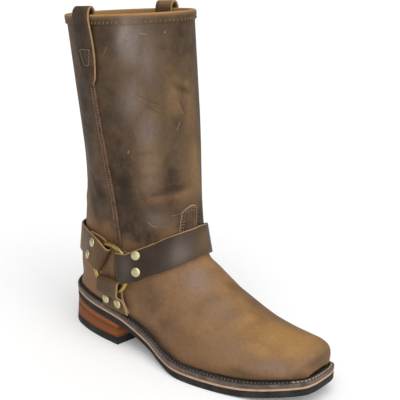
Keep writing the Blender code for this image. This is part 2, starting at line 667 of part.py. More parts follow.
def across_edges(skin, line, angle, low, high, sweep, lift):
    """Straight line across a strap that clears the upper by lift, as its middle and half width vector."""
    z = np.linspace(low, high, 7)
    spread = np.sign(-angle if angle else 1) * np.linspace(-0.5, 0.5, 7) * sweep / 45.0
    turns = math.radians(angle) + spread
    ways = np.stack([np.cos(turns), np.sin(turns)], 1)
    start = np.array(line)
    met = [skin.round(line, math.degrees(t), v)[0][:2] for t, v in zip(turns, z)]
    reach = np.array([np.dot(p - start, w) for p, w in zip(met, ways)])
    lean = np.polyfit(z, reach, 1)[0]
    least = (reach - lean * z).max() + lift * math.hypot(1, lean)
    ends = [np.r_[start + w * (least + lean * v), v] for w, v in ((ways[0], low), (ways[-1], high))]
    return (ends[0] + ends[1]) / 2, (ends[1] - ends[0]) / 2


def fold_path(station, way, side_way, shift, apex, width):
    """The end of a strap at a ring, from the return leaf's free part, round the rod, to the outer leaf."""
    base = lambda d, lift: station.at(*(np.array(way) * d + np.array(side_way) * shift), lift)
    half = (station.fore * side_way[0] + station.rise * side_way[1]) * width / 2
    d0 = apex + FOLD + STRAP / 2
    path = [(base(d, -FOLD), half) for d in (d0 + 11, d0 + 5)]
    for a in np.linspace(-90, 90, 7):
        r = math.radians(a)
        path.append((base(d0 - FOLD * math.cos(r), FOLD * math.sin(r)), half))
    path += [(base(d, FOLD), half) for d in (d0 + 5, d0 + 11)]
    return path


def long_strap(skin, name, stations, table, line, way, shift, apex, width, steps):
    """Strap from the ring on one side to the ring on the other, folded back on itself at both ends."""
    rows = np.array(sorted(table))
    halves = []
    for station in stations:
        side = station.side
        turn = np.array(way)
        side_way = np.array([-turn[1], turn[0]]) * (1 if turn[0] > 0 else -1)
        ends = fold_path(station, turn, side_way, shift, apex, width)
        over, low_lift = [], UNDER + GAP / 2 + STRAP / 2
        for n, angle in enumerate(np.linspace(table[0][0], table[-1][0], steps)):
            low, high, sweep = (float(along(rows[:, [0, k]], angle)) for k in (1, 2, 3))
            lift = low_lift + (STRAP + GAP) * max(0.0, 1 - n / 2)
            over.append(across_edges(skin, line, -side * angle, low, high, sweep, lift))
            if n == 0:
                leaf = [across_edges(skin, line, -side * angle, low, high, sweep, low_lift)]
        last, first = ends[-1], over[0]
        ends += [tuple(a * (1 - f) + b * f for a, b in zip(last, first)) for f in (0.34, 0.67)]
        halves.append((leaf + ends, over))
    (near, near_over), (far, far_over) = halves
    faces = ribbon(name, near + near_over + far_over[-2::-1] + far[::-1], STRAP, STRAP_LEATHER)
    return faces, faces[::-1]


def lower_strap(skin, name, station):
    """Short doubled strap from a ring down to the welt."""
    ends = fold_path(station, (0.0, -1.0), (1.0, 0.0), LOWER_SHIFT, LOWER_APEX, LOWER_WIDTH)
    x = station.at(LOWER_SHIFT, 0)[0]
    foot = feather_z(x) + LIP_RISE + 3.0

    def level(z, lift, width):
        place, out = skin.hit((x + (60 - z) * LOWER_RAKE, 0, z), (0, station.side, 0))
        fore = unit(np.array([1.0, 0, 0]) - out * out[0])
        return place + out * lift, fore * width / 2

    pinch = station.at(LOWER_SHIFT, -LOWER_PINCH)[2]
    wide, part_wide = LOWER_FOOT_WIDTH, LOWER_WIDTH * 0.8 + LOWER_FOOT_WIDTH * 0.2
    under = UNDER + 5 * GAP + STRAP / 2
    over = [level(pinch, under + STRAP + GAP, part_wide), level(foot, under + STRAP + GAP, wide)]
    leaf = [level(foot + 1.0, under, wide - 1.0), level(pinch, under, part_wide)]
    return ribbon(name, leaf + ends + over, STRAP, STRAP_LEATHER)


def dome(name, place, out):
    """Round-headed rivet standing on a strap."""
    side = unit(np.cross(out, [0.3, 0.2, 1.0]))
    up = np.cross(out, side)
    turn = np.linspace(0, 2 * math.pi, 11, endpoint=False)
    loops = []
    for r, h in ((1.0, 0.0), (0.86, 0.6), (0.45, 0.98)):
        rim = [side * math.cos(a) + up * math.sin(a) for a in turn]
        loops.append([place + v * r * RIVET_RADIUS + out * h * RIVET_RISE for v in rim])
    solid(name, *tube([np.array(q) for q in loops]), BRASS)


def strap_face(steps, first, distance, side_shift, outwards):
    """Points on a strap's outer face as its two triangulations give it, and the face's normal there."""
    run, i = 0.0, first
    while run + np.linalg.norm(steps[i + 1][0] - steps[i][0]) < distance:
        run, i = run + np.linalg.norm(steps[i + 1][0] - steps[i][0]), i + 1
    f = (distance - run) / np.linalg.norm(steps[i + 1][0] - steps[i][0])
    sign = 1 if np.dot(steps[i][2], outwards) > 0 else -1
    t = 0.5 + side_shift / (np.linalg.norm(steps[i][1]) + np.linalg.norm(steps[i + 1][1]))
    (p, q), (r, s) = [(m + sign * h - a, m + sign * h + a) for m, a, h in steps[i : i + 2]]
    smooth = (1 - f) * ((1 - t) * p + t * q) + f * ((1 - t) * r + t * s)
    one = p + f * (r - p) + t * (s - r) if f > t else p + t * (q - p) + f * (s - q)
    two = p + f * (r - p) + t * (q - p) if f + t < 1 else s + (1 - f) * (q - s) + (1 - t) * (r - s)
    out = unit(np.cross((1 - f) * (q - p) + f * (s - r), (1 - t) * (r - p) + t * (s - q)))
    return (smooth, one, two), out if np.dot(out, outwards) > 0 else -out


def rivet_seat(steps, first, distance, side_shift, outwards, gap):
    """Middle and axis of a rivet's foot, just clear of the highest part of the strap under it."""
    (place, *_), out = strap_face(steps, first, distance, side_shift, outwards)
    reach = np.linspace(-RIVET_RADIUS, RIVET_RADIUS, 5)
    near = [p for a in reach for b in reach
            for p in strap_face(steps, first, distance + a, side_shift + b, outwards)[0]]
    return place + out * (max(np.dot(p - place, out) for p in near) + gap), out


def build_ring(name, station, around=28, rod=7):
    turns = np.linspace(0, 2 * math.pi, around, endpoint=False)
    rounds = []
    for a in turns:
        spoke = station.fore * math.cos(a) + station.rise * math.sin(a)
        rounds.append([
            station.middle + spoke * (RING_RADIUS + RING_ROD * math.cos(b)) + station.out * RING_ROD * math.sin(b)
            for b in np.linspace(0, 2 * math.pi, rod, endpoint=False)
        ])
    solid(name, *ring_skin(np.array(rounds)), BRASS, station.middle)


def build_harness(skin):
    stations = [Station(skin, -1), Station(skin, 1)]
    lean, back = math.radians(7.0), math.radians(150)
    front = long_strap(skin, "harness_front_strap", stations, FRONT_STRAP, FRONT_LINE,
                       (math.cos(lean), math.sin(lean)), 3.6, FRONT_APEX, FRONT_WIDTH, 8)
    rear = long_strap(skin, "harness_rear_strap", stations, REAR_STRAP, REAR_LINE,
                      (math.cos(back), math.sin(back)), 0.0, REAR_APEX, REAR_WIDTH, 12)
    for n, (station, label) in enumerate(zip(stations, ("outer", "inner"))):
        lower = lower_strap(skin, f"harness_lower_strap_{label}", station)
        build_ring(f"ring_{label}", station)
        number = 0
        pairs = [(front[n], 11, 12.0, 1.5, RIVET_SPREAD, RIVET_GAP), (rear[n], 11, 6.0, 0.0, RIVET_SPREAD, RIVET_GAP)]
        pairs.append((lower, 12, 9.2, 2.4, LOWER_SPREAD, LOWER_GAP))
        for steps, first, distance, offset, spread, gap in pairs:
            for shift in (offset - spread, offset + spread):
                number += 1
                dome(f"rivet_{label}_{number}", *rivet_seat(steps, first, distance, shift, station.out, gap))


build_sole()
build_upper()
skin = Skin()
build_counter(skin)
build_strip(skin, "side_strip_outer", -1)
build_strip(skin, "side_strip_inner", 1)
build_tab(skin)
build_binding()
build_loop("pull_loop_outer", -1)
build_loop("pull_loop_inner", 1)
build_harness(skin)
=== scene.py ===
"""Looks of a pull-on harness boot for the right foot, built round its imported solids: oiled leather with its
creases, rubs and grain, stitched seams, a welted sole, a stacked heel, and brass rings and rivets.

Lengths in the forms below are millimetres with +X to the toe, +Y to the inner side and +Z up."""

import functools
import math

import bmesh
import bpy
import numpy as np
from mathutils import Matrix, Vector
from mathutils.bvhtree import BVHTree


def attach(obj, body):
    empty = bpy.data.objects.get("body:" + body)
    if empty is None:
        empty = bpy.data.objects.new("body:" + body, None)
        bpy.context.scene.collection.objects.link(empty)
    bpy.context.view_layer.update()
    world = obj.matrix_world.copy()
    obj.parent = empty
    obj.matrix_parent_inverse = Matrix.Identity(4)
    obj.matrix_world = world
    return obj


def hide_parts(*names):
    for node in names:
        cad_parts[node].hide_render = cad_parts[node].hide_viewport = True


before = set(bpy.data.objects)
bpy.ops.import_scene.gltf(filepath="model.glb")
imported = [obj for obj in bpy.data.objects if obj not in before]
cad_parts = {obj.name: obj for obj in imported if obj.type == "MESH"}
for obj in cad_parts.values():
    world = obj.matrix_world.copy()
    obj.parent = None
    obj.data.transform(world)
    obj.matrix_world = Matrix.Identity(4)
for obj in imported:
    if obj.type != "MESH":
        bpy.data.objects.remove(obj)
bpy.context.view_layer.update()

bl_info = {
    "name": "Harness boot",
    "version": (1, 0, 0),
    "blender": (4, 5, 0),
    "location": "View3D > Sidebar > Boot",
    "description": "Dresses the packed boot in leather, thread, rubber and brass",
    "category": "Object",
}

MM = 0.001
GAP = 0.3  # clearance between neighbouring pieces
SIDES = ((-1, "outer"), (1, "inner"))

# Cells of the upper's visible faces, of the face that other pieces are laid on and of the one under the loops
UPPER_ROWS, UPPER_COLUMNS = 280, 160
SKIN_ROWS, SKIN_COLUMNS = 240, 144
LOOP_ROWS, LOOP_COLUMNS = 111, 224
SOLE_POINTS, INSOLE_POINTS, WELT_POINTS, HEEL_POINTS, BREAST_POINTS = 420, 300, 1040, 150, 26

# Sole and heel: thicknesses, the welt's lip, the heel's outline
OUTSOLE, MIDSOLE, WELT, INSOLE, CAP = 6.4, 2.4, 3.6, 4.2, 7.8
WELT_FOOT = OUTSOLE + MIDSOLE + 2 * GAP  # underside of the welt above that of the outsole
LIP_RISE, LIP_WIDTH, WELT_WIDTH, WELT_RIBS = 1.3, 1.8, 14.0, 260
# Ahead of TOE_LEDGE, where the toe's front is lit, the welt's groove keeps the welt's colour; behind it the groove's
# black is partly painted shade.
TOE_LEDGE = 236.0  # x ahead of which the stitched groove of the welt is bare and pale
HEEL_FLARE, HEEL_INSET, LIFTS = 1.045, 0.7, 3
BREAST_X, BREAST_SKEW = 45.6, 0.11

# Upper and the panels sewn on it
WALL = 2.2
CREASED_FROM, CREASED_TO = (24.0, 38.0), (318.0, 310.0)  # heights over which the creases fade in and out
COUNTER_THICK, STRIP_THICK, TAB_THICK, STRIP_WIDTH = 1.1, 1.0, 1.1, 6.0
COUNTER_LINE, COUNTER_FROM, COUNTER_ARC = (5.0, -3.0), -50.0, 260.0  # upright line, then degrees about it
COUNTER_TOP, COUNTER_FALL = 104.0, 3.0  # height at the back, and how much lower its ends are
TAB_LINE = (62.0, 0.0)
TAB_FOOT, TAB_FOOT_ARC, TAB_TOP_ARC = 120.0, (-25.5, -2.0), (-20.5, -1.0)  # height, then its sides in degrees
TAB_EDGE = ((-1.0, 146.0), (-0.5, 149.6), (0.3, 152.6), (0.75, 152.0), (1.0, 149.0))  # height across its top
SEAM_TOP, SEAM_FOOT = {-1: (19.0, 324.0), 1: (25.0, 324.0)}, (43.5, 104.0)

# Collar and pull loops
BIND_THICK, BIND_DROP, BIND_SEAM = 1.3, 7.0, 5.3
LOOP_WIDTH, LOOP_THICK, LOOP_ARCH = 23.0, 2.0, 7.5
LOOP_OUTSIDE, LOOP_INSIDE = 60.0, 38.0
LOOP_TAPER = ((0.0, 0.34), (3.5, 0.6), (13.0, 0.86), (24.0, 1.0))  # up from the outer end, share of the width
LOOP_ACROSS = LOOP_WIDTH * np.array([-0.5, -0.47, -0.25, 0.0, 0.25, 0.47, 0.5])
LOOP_SEAM = ((28.5, -6.7), (28.5, 6.7), (42.5, 3.4), (42.5, -3.4), (28.5, -6.7))  # down from the rim, across

# Harness: straps folded round the rods of two rings
STRAP, RING_ROD, ROD_ROOM = 2.0, 2.25, 0.45
RING_X, RING_Z, RING_RADIUS, RING_SEAT = 39.5, 83.0, 23.6, 12.0
UNDER = COUNTER_THICK + 3 * GAP
FOLD = RING_ROD + ROD_ROOM + STRAP / 2
RING_LIFT = UNDER + STRAP + RING_ROD + ROD_ROOM + 1.6 * GAP
FRONT_WIDTH, REAR_WIDTH, LOWER_WIDTH, LOWER_FOOT_WIDTH = 28.6, 29.0, 29.4, 37.0
FRONT_APEX, REAR_APEX, LOWER_APEX = 8.6, 10.2, 10.2
FRONT_TURN, REAR_TURN, FRONT_SHIFT = 7.0, 150.0, 3.6  # degrees up from straight ahead, then millimetres
LOWER_SHIFT, LOWER_RAKE, LOWER_PINCH = -1.9, 0.31, 29.8

# Sections of rivets (share of the radius, of the height) and stitches (share of the length, radius, height)
RIVET_PROFILE = ((1.0, -0.12), (1.0, 0.16), (0.975, 0.3), (0.9, 0.52), (0.76, 0.74), (0.58, 0.88), (0.38, 0.96),
                 (0.18, 0.99))
STITCH_PROFILE = ((-0.5, 0.45, -0.7), (-0.36, 0.9, 0.05), (0.0, 1.0, 0.4), (0.36, 0.9, 0.05), (0.5, 0.45, -0.7))
# Pitch, length and radius of the stitches of each seam, then slant and lift where they are its own
STITCHES = {
    "collar": (4.3, 2.3, 0.5, 80.0, 0.25),
    "strip": (2.7, 1.5, 0.34),
    "tab": (2.9, 1.5, 0.42),
    "counter": (2.4, 1.6, 0.38),
    "loop": (2.4, 1.8, 0.32),
    "welt": (3.6, 2.6, 0.72, 0.0, 0.35),
}

# Edge of the sole in plan: x, outer y, inner y
EDGE = (
    (-42.2, -17.0, 15.5),
    (-31.0, -31.0, 28.5),
    (-12.0, -39.0, 34.5),
    (10.0, -43.2, 34.2),
    (35.0, -44.6, 31.0),
    (60.0, -45.0, 28.5),
    (85.0, -46.6, 32.0),
    (105.0, -51.2, 40.0),
    (124.0, -54.8, 48.0),
    (145.0, -54.0, 52.5),
    (165.0, -50.6, 53.0),
    (185.0, -45.8, 49.6),
    (205.0, -39.4, 44.4),
    (225.0, -30.8, 37.0),
    (240.0, -23.6, 30.8),
    (248.6, -17.6, 25.2),
)
EDGE_REAR = ((-46.2, -0.6),)
EDGE_TOE = ((252.2, -8.0), (253.0, 4.0), (252.6, 16.0))

# Underside of the outsole, x and z: heel seat, arch, flat tread, toe spring
SEAT = (
    (-52.0, 31.4),
    (-5.0, 27.3),
    (42.0, 23.2),
    (62.0, 18.2),
    (85.0, 10.8),
    (105.0, 4.2),
    (120.0, 1.2),
    (136.0, 0.0),
    (168.0, 0.0),
    (190.0, 1.0),
    (210.0, 3.8),
    (232.0, 8.6),
    (256.0, 15.2),
)

# How far the outsole is trimmed inside the welt's edge: x, inset
TRIM = ((-46.0, 0.2), (40.0, 0.4), (65.0, 1.6), (100.0, 1.6), (130.0, 0.3), (253.0, 0.1))

# How far inside the sole's edge the upper meets the welt: x, inset
FEATHER = ((-46.0, 5.2), (40.0, 5.4), (80.0, 6.6), (115.0, 8.6), (190.0, 8.8), (235.0, 7.4), (254.0, 6.6))

# Sections of the upper from toe to collar. Each stands on the welt at foot_x, or on the line of the back at
# (foot_x, foot_z), and rises to the front line at (top_x, top_y, top_z). wide is its greatest half width, at
# the fraction wide_at of its height, and blunt rounds it over the top, 2 being an ellipse.
# Columns: foot_x, foot_z for the shaft alone, top_x, top_y, top_z, wide, wide_at, blunt
FOOT_SECTIONS = (
    (245.4, 246.6, 3.4, 29.0, 15.0, 0.40, 3.4),
    (245.0, 247.8, 3.4, 36.6, 17.6, 0.40, 3.4),
    (243.6, 247.2, 3.4, 43.6, 20.0, 0.38, 3.3),
    (240.0, 242.8, 3.4, 48.6, 22.8, 0.36, 3.1),
    (233.0, 234.0, 3.4, 50.4, 27.2, 0.34, 2.9),
    (220.0, 219.0, 3.4, 50.8, 33.0, 0.33, 2.5),
    (200.0, 197.0, 3.2, 52.2, 38.6, 0.34, 2.3),
    (177.0, 173.0, 2.8, 57.0, 43.6, 0.34, 2.15),
    (152.0, 150.4, 2.4, 68.0, 46.0, 0.33, 2.05),
    (127.0, 132.4, 2.0, 81.6, 44.6, 0.32, 2.0),
    (103.0, 120.6, 1.6, 93.0, 41.2, 0.32, 2.0),
    (78.0, 111.4, 1.2, 100.5, 38.4, 0.34, 2.0),
    (54.0, 109.0, 0.8, 111.0, 37.6, 0.38, 2.0),
    (30.0, 108.6, 0.4, 121.5, 37.8, 0.40, 2.0),
    (6.0, 108.6, 0.2, 131.5, 38.4, 0.41, 2.0),
    (-16.0, 108.6, 0.0, 141.0, 38.8, 0.43, 2.0),
    (-31.0, 108.4, 0.0, 149.0, 38.8, 0.45, 2.0),
    (-38.4, 108.2, 0.0, 155.0, 38.8, 0.46, 2.0),
)
SHAFT_SECTIONS = (
    (-40.6, 44.0, 107.9, 0.0, 160.5, 38.8, 0.47, 2.0),
    (-41.8, 60.0, 107.4, 0.0, 169.0, 39.0, 0.48, 2.0),
    (-40.0, 80.0, 106.7, 0.0, 180.0, 39.4, 0.49, 2.0),
    (-36.0, 102.0, 105.7, 0.0, 192.0, 40.0, 0.50, 2.0),
    (-32.0, 124.0, 104.7, 0.0, 205.0, 41.2, 0.50, 2.0),
    (-28.0, 150.0, 103.0, 0.0, 220.5, 43.0, 0.50, 2.0),
    (-27.0, 178.0, 101.0, 0.0, 238.5, 45.0, 0.50, 2.0),
    (-29.0, 208.0, 98.4, 0.0, 259.0, 47.2, 0.50, 2.0),
    (-33.0, 246.0, 95.6, 0.0, 284.0, 49.4, 0.50, 2.0),
    (-37.4, 284.0, 93.2, 0.0, 307.0, 51.0, 0.50, 2.0),
    (-41.4, 317.0, 91.6, 0.0, 325.0, 52.2, 0.50, 2.0),
)

# Edges of the two long straps: angle about an upright line, 0 at the front, lower and upper height, and how far
# the upper edge runs ahead of the lower one
FRONT_LINE, REAR_LINE = (45.0, 0.0), (6.0, -2.0)
FRONT_STRAP = (
    (-42.0, 87.6, 116.8, 2.0),
    (-36.0, 90.2, 119.6, 1.0),
    (-24.0, 95.4, 125.0, 0.0),
    (-12.0, 100.0, 129.6, 0.0),
    (0.0, 102.2, 131.8, 0.0),
)
REAR_STRAP = (
    (-99.0, 83.6, 111.4, 10.0),
    (-110.0, 82.8, 111.2, 6.0),
    (-122.0, 82.2, 111.0, 3.0),
    (-138.0, 81.8, 110.8, 1.0),
    (-152.0, 80.6, 109.6, 0.0),
    (-166.0, 79.4, 108.4, 0.0),
    (-180.0, 79.0, 108.0, 0.0),
)


def unit(v):
    """Vectors along the last axis, brought to length 1."""
    return v / np.linalg.norm(v, axis=-1, keepdims=True)


def run_of(points):
    """Length along a line at each of its points."""
    return np.r_[0, np.cumsum(np.linalg.norm(np.diff(points, axis=0), axis=1))]


def picked(at, run, values):
    """Values of a line's points, or the points themselves, at these lengths along it."""
    return np.stack([np.interp(at, run, column) for column in np.asarray(values).T], 1)


def hermite(t, start, end, leaving, arriving):
    """Smooth curve from start to end at the fraction t, with its slopes at both."""
    return ((2 * t**3 - 3 * t**2 + 1) * start + (t**3 - 2 * t**2 + t) * leaving
            + (3 * t**2 - 2 * t**3) * end + (t**3 - t**2) * arriving)


def slopes(x, y):
    """Slopes of a curve through the points that keeps flats flat and adds no overshoot."""
    h, d = np.diff(x), np.diff(y) / np.diff(x)
    m = np.zeros(len(x))
    for i in range(1, len(x) - 1):
        if d[i - 1] * d[i] > 0:
            a, b = 2 * h[i] + h[i - 1], h[i] + 2 * h[i - 1]
            m[i] = (a + b) / (a / d[i - 1] + b / d[i])
    m[0], m[-1] = d[0], d[-1]
    return m


def along(table, at):
    """Second column of a two-column table at any value of its first, as a smooth curve."""
    x, y = np.array(table, float).T
    m = slopes(x, y)
    at = np.clip(np.asarray(at, float), x[0], x[-1])
    i = np.clip(np.searchsorted(x, at) - 1, 0, len(x) - 2)
    h = x[i + 1] - x[i]
    return hermite((at - x[i]) / h, y[i], y[i + 1], h * m[i], h * m[i + 1])


def through(rows, at):
    """Rows of numbers joined by a smooth curve, read at fractional row numbers."""
    m = np.gradient(rows, axis=0)
    i = np.clip(np.floor(at).astype(int), 0, len(rows) - 2)
    return hermite((at - i)[:, None], rows[i], rows[i + 1], m[i], m[i + 1])


def closed_curve(points, steps):
    """Smooth closed curve through the points, with this many steps between neighbours."""
    p = np.asarray(points, float)
    before, after, beyond = np.roll(p, 1, 0), np.roll(p, -1, 0), np.roll(p, -2, 0)
    t = np.linspace(0, 1, steps, endpoint=False)[None, :, None]
    a, b, c, d = (v[:, None, :] for v in (before, p, after, beyond))
    curve = 0.5 * (2 * b + (c - a) * t + (2 * a - 5 * b + 4 * c - d) * t**2 + (3 * b - a - 3 * c + d) * t**3)
    return curve.reshape(-1, p.shape[1])


def sole_edge():
    """Edge of the sole in plan, from the back by the outer side to the toe and round."""
    outer = [(x, y) for x, y, _ in EDGE]
    inner = [(x, y) for x, _, y in reversed(EDGE)]
    return closed_curve([*EDGE_REAR, *outer, *EDGE_TOE, *inner], 16)


EDGE_LINE = sole_edge()


def seat_z(x):
    """Height of the outsole's underside."""
    return along(SEAT, x)


def feather_z(x):
    """Height at which the upper meets the welt."""
    return seat_z(x) + WELT_FOOT + WELT + 2 * GAP


def inset_loop(inset):
    """The sole's edge moved inwards, by a number or by a value for each of its points."""
    step = unit(np.roll(EDGE_LINE, -1, 0) - np.roll(EDGE_LINE, 1, 0))
    inwards = np.stack([-step[:, 1], step[:, 0]], 1)
    return EDGE_LINE + inwards * np.broadcast_to(inset, len(EDGE_LINE))[:, None]


def sides_of(loop):
    """Outer and inner side of a loop as y against x."""
    rear, front = loop[:, 0].argmin(), loop[:, 0].argmax()
    rolled = np.roll(loop, -rear, 0)
    front = (front - rear) % len(loop)
    outer, inner = rolled[: front + 1], np.vstack([rolled[front:], rolled[:1]])[::-1]
    return outer, inner


def width_at(loop, x):
    """Outer and inner y of a loop at x."""
    return [np.interp(x, side[:, 0], side[:, 1]) for side in sides_of(loop)]


FEATHER_INSET = along(FEATHER, EDGE_LINE[:, 0])
FEATHER_LOOP = inset_loop(FEATHER_INSET)
LIP_INSET = FEATHER_INSET - LIP_WIDTH - 2.0


def sections():
    """Every section of the upper, with a foot_z of 0 where it stands on the welt."""
    return np.array([(foot_x, 0.0, *rest) for foot_x, *rest in FOOT_SECTIONS] + list(SHAFT_SECTIONS), float)


def upper_form(rows, columns):
    """Outer face of the upper as a grid of points with normals. The first column runs along the outer side's
    welt and up the back, the middle one along the front, the last along the inner side's welt."""
    at = np.linspace(0, len(FOOT_SECTIONS) + len(SHAFT_SECTIONS) - 1, rows)
    weld = len(FOOT_SECTIONS)
    at[np.abs(at - weld).argmin()] = weld
    table = through(sections(), at)
    grid = np.empty((rows, columns + 1, 3))
    half = columns // 2
    t = (1 - np.cos(np.linspace(0, math.pi, 161))) / 2
    for i, (foot_x, foot_z, top_x, top_y, top_z, wide, wide_at, blunt) in enumerate(table):
        if at[i] < weld:
            low, high = width_at(FEATHER_LOOP, foot_x)
            foot_y, foot_half, foot_z = (low + high) / 2, (high - low) / 2, feather_z(foot_x)
            wide = max(wide, foot_half * 1.012)
        else:
            foot_y, foot_half = -0.6 * max(0.0, 1 - (at[i] - weld) / 3), 0.0
        reach = wide_at / (1 - (foot_half / wide) ** 2) ** 0.5
        under = wide * np.sqrt(np.clip(1 - ((wide_at - t) / reach) ** 2, 0, 1))
        over = wide * np.clip(1 - (np.clip(t - wide_at, 0, 1) / (1 - wide_at)) ** blunt, 0, 1) ** (1 / blunt)
        width = np.where(t < wide_at, under, over)
        middle = foot_y + (top_y - foot_y) * t
        for side, cells in ((-1, slice(0, half + 1)), (1, slice(columns, half - 1, -1))):
            line = np.stack([foot_x + (top_x - foot_x) * t, middle + side * width, foot_z + (top_z - foot_z) * t], 1)
            run = run_of(line)
            grid[i, cells] = picked(np.linspace(0, run[-1], half + 1), run, line)
    normal = np.cross(np.gradient(grid, axis=0), np.gradient(grid, axis=1))
    welded = at >= weld
    seam = normal[welded, 0] + normal[welded, -1]
    normal[welded, 0], normal[welded, -1] = seam, seam
    normal[0] = normal[1] * 0.3 + np.array([1.0, 0, 0]) * np.linalg.norm(normal[1], axis=1)[:, None]
    normal = unit(normal)
    if normal[-4, columns // 4, 1] > 0:
        normal = -normal
        normal[0, :, 0] = np.abs(normal[0, :, 0])
    return grid, normal, int(np.argmax(welded))


class Skin:
    """The upper's outer face, fine enough to lay other pieces on."""

    def __init__(self):
        grid, normal, _ = upper_form(SKIN_ROWS, SKIN_COLUMNS)
        rows, self.columns = grid.shape[0], grid.shape[1] - 1
        self.index = np.arange(rows * (self.columns + 1)).reshape(rows, -1)
        self.normal = normal.reshape(-1, 3)
        self.tree = BVHTree.FromPolygons(grid.reshape(-1, 3).tolist(), quads(self.index).tolist())

    def hit(self, origin, way):
        """Where a line from inside leaves the upper, with the outward normal there."""
        place, _, cell, _ = self.tree.ray_cast(Vector(origin), Vector(way).normalized())
        if place is None:
            raise ValueError(f"no upper from {tuple(origin)} towards {tuple(way)}")
        i, j = divmod(cell, self.columns)
        return np.array(place), unit(self.normal[self.index[i:i + 2, j:j + 2].ravel()].sum(0))

    def round(self, line, angle, z):
        """Hit of a level line from an upright one, angle in degrees from the toe towards the inner side."""
        a = math.radians(angle)
        return self.hit((line[0], line[1], z), (math.cos(a), math.sin(a), 0))


class Station:
    """The ring's seat on one side: its middle on the upper, outward normal, forward and upward ways."""

    def __init__(self, skin, side):
        self.side = side
        place, _ = skin.hit((RING_X, 0, RING_Z), (0, side, 0))
        steps = (-RING_SEAT, 0, RING_SEAT)
        near = [skin.hit((RING_X + a, 0, RING_Z + b), (0, side, 0))[1] for a in steps for b in steps]
        self.out = unit(np.mean(near, axis=0))
        self.fore = unit(np.array([1.0, 0, 0]) - self.out * self.out[0])
        self.rise = unit(np.cross(self.out, self.fore)) * -side
        if self.rise[2] < 0:
            self.rise = -self.rise
        self.middle = place + self.out * RING_LIFT

    def at(self, fore, rise, lift=0.0):
        """Place by distances ahead, up and outwards from the ring's middle."""
        return self.middle + self.fore * fore + self.rise * rise + self.out * lift


def across_edges(skin, line, angle, low, high, sweep, lift):
    """Straight line across a strap that clears the upper by lift, as its middle and half width vector."""
    z = np.linspace(low, high, 7)
    spread = np.sign(-angle if angle else 1) * np.linspace(-0.5, 0.5, 7) * sweep / 45.0
    bearings = math.radians(angle) + spread
    ways = np.stack([np.cos(bearings), np.sin(bearings)], 1)
    start = np.array(line)
    met = [skin.round(line, math.degrees(t), v)[0][:2] for t, v in zip(bearings, z)]
    reach = np.array([np.dot(p - start, w) for p, w in zip(met, ways)])
    lean = np.polyfit(z, reach, 1)[0]
    least = (reach - lean * z).max() + lift * math.hypot(1, lean)
    ends = [np.r_[start + w * (least + lean * v), v] for w, v in ((ways[0], low), (ways[-1], high))]
    return (ends[0] + ends[1]) / 2, (ends[1] - ends[0]) / 2


def fold_path(station, way, side_way, shift, apex, width):
    """The end of a strap at a ring, from the return leaf's free part, round the rod, to the outer leaf."""
    base = lambda d, lift: station.at(*(np.array(way) * d + np.array(side_way) * shift), lift)
    half = (station.fore * side_way[0] + station.rise * side_way[1]) * width / 2
    d0 = apex + FOLD + STRAP / 2
    path = [(base(d, -FOLD), half) for d in (d0 + 11, d0 + 5)]
    for a in np.linspace(-90, 90, 7):
        r = math.radians(a)
        path.append((base(d0 - FOLD * math.cos(r), FOLD * math.sin(r)), half))
    path += [(base(d, FOLD), half) for d in (d0 + 5, d0 + 11)]
    return path


# Soft troughs (deep below 0) and ridges of the shaft, between two places given by angle about an upright line
# and by height: angle, z, angle, z, bow upwards, deep, wide
SHAFT_LINE = (33.0, 0.0)
SHAFT_CREASES = (
    (-47.0, 151.0, -4.0, 163.8, 0.5, 1.4, 4.2),
    (-36.0, 160.5, -3.0, 171.5, 0.5, -1.3, 4.0),
    (-64.0, 141.0, -36.0, 144.5, 1.5, -0.6, 6.0),
    (-16.0, 266.0, 4.0, 254.5, -1.0, -1.2, 2.8),
    (-16.0, 271.5, 3.0, 260.5, -1.0, 0.9, 3.0),
    (-43.0, 250.0, -25.0, 246.6, 0.8, -0.45, 1.7),
    (-37.0, 243.2, -21.0, 238.0, 1.0, -0.45, 1.7),
    (-31.0, 246.0, -22.0, 241.5, 0.4, -0.3, 1.5),
    (-36.0, 236.0, -24.0, 233.0, 0.5, -0.3, 1.7),
    (-48.0, 178.0, -24.0, 181.0, 1.0, -0.45, 2.6),
    (-44.0, 189.0, -26.0, 190.5, 0.8, -0.35, 2.2),
    (-50.0, 199.0, -30.0, 203.0, 0.6, -0.35, 2.6),
    (-75.0, 170.0, -52.0, 160.0, 1.5, -0.8, 7.0),
    (-80.0, 196.0, -60.0, 188.0, 1.0, -0.5, 7.0),
    (-118.0, 152.0, -96.0, 147.0, 2.0, -0.7, 7.0),
    (-150.0, 150.0, -124.0, 158.0, 2.0, -0.9, 6.0),
    (-158.0, 138.0, -128.0, 142.0, 2.0, 0.9, 6.0),
    (-205.0, 146.0, -160.0, 146.0, 2.5, -0.9, 6.0),
    (-205.0, 134.0, -165.0, 134.0, 2.5, 0.8, 6.0),
    (56.0, 151.0, 22.0, 160.6, 1.0, 1.1, 4.6),
    (50.0, 161.5, 22.0, 168.6, 1.0, -1.0, 4.6),
    (62.0, 144.0, 30.0, 147.0, 1.5, -0.9, 6.0),
    (44.0, 246.0, 22.0, 240.0, 1.0, -0.4, 2.4),
    (52.0, 186.0, 26.0, 190.0, 1.0, -0.5, 3.0),
    (78.0, 172.0, 56.0, 162.0, 1.5, -0.8, 7.0),
    (140.0, 152.0, 104.0, 148.0, 2.0, -0.8, 7.0),
)
# The same on the vamp, between two places given by x and by angle from straight up, below 0 on the outer side
VAMP_CREASES = (
    (128.0, -52.0, 136.0, -8.0, 2.0, -0.5, 7.0),
    (150.0, -44.0, 158.0, 6.0, 2.0, -0.45, 7.0),
    (171.0, -34.0, 180.0, 16.0, 2.0, -0.5, 6.0),
    (164.0, -40.0, 171.0, 10.0, 2.0, 0.35, 6.0),
    (128.0, 52.0, 137.0, 10.0, 2.0, -0.5, 7.0),
    (150.0, 50.0, 157.0, 14.0, 2.0, -0.4, 7.0),
    (112.0, -74.0, 150.0, -76.0, 0.0, -0.4, 8.0),
)

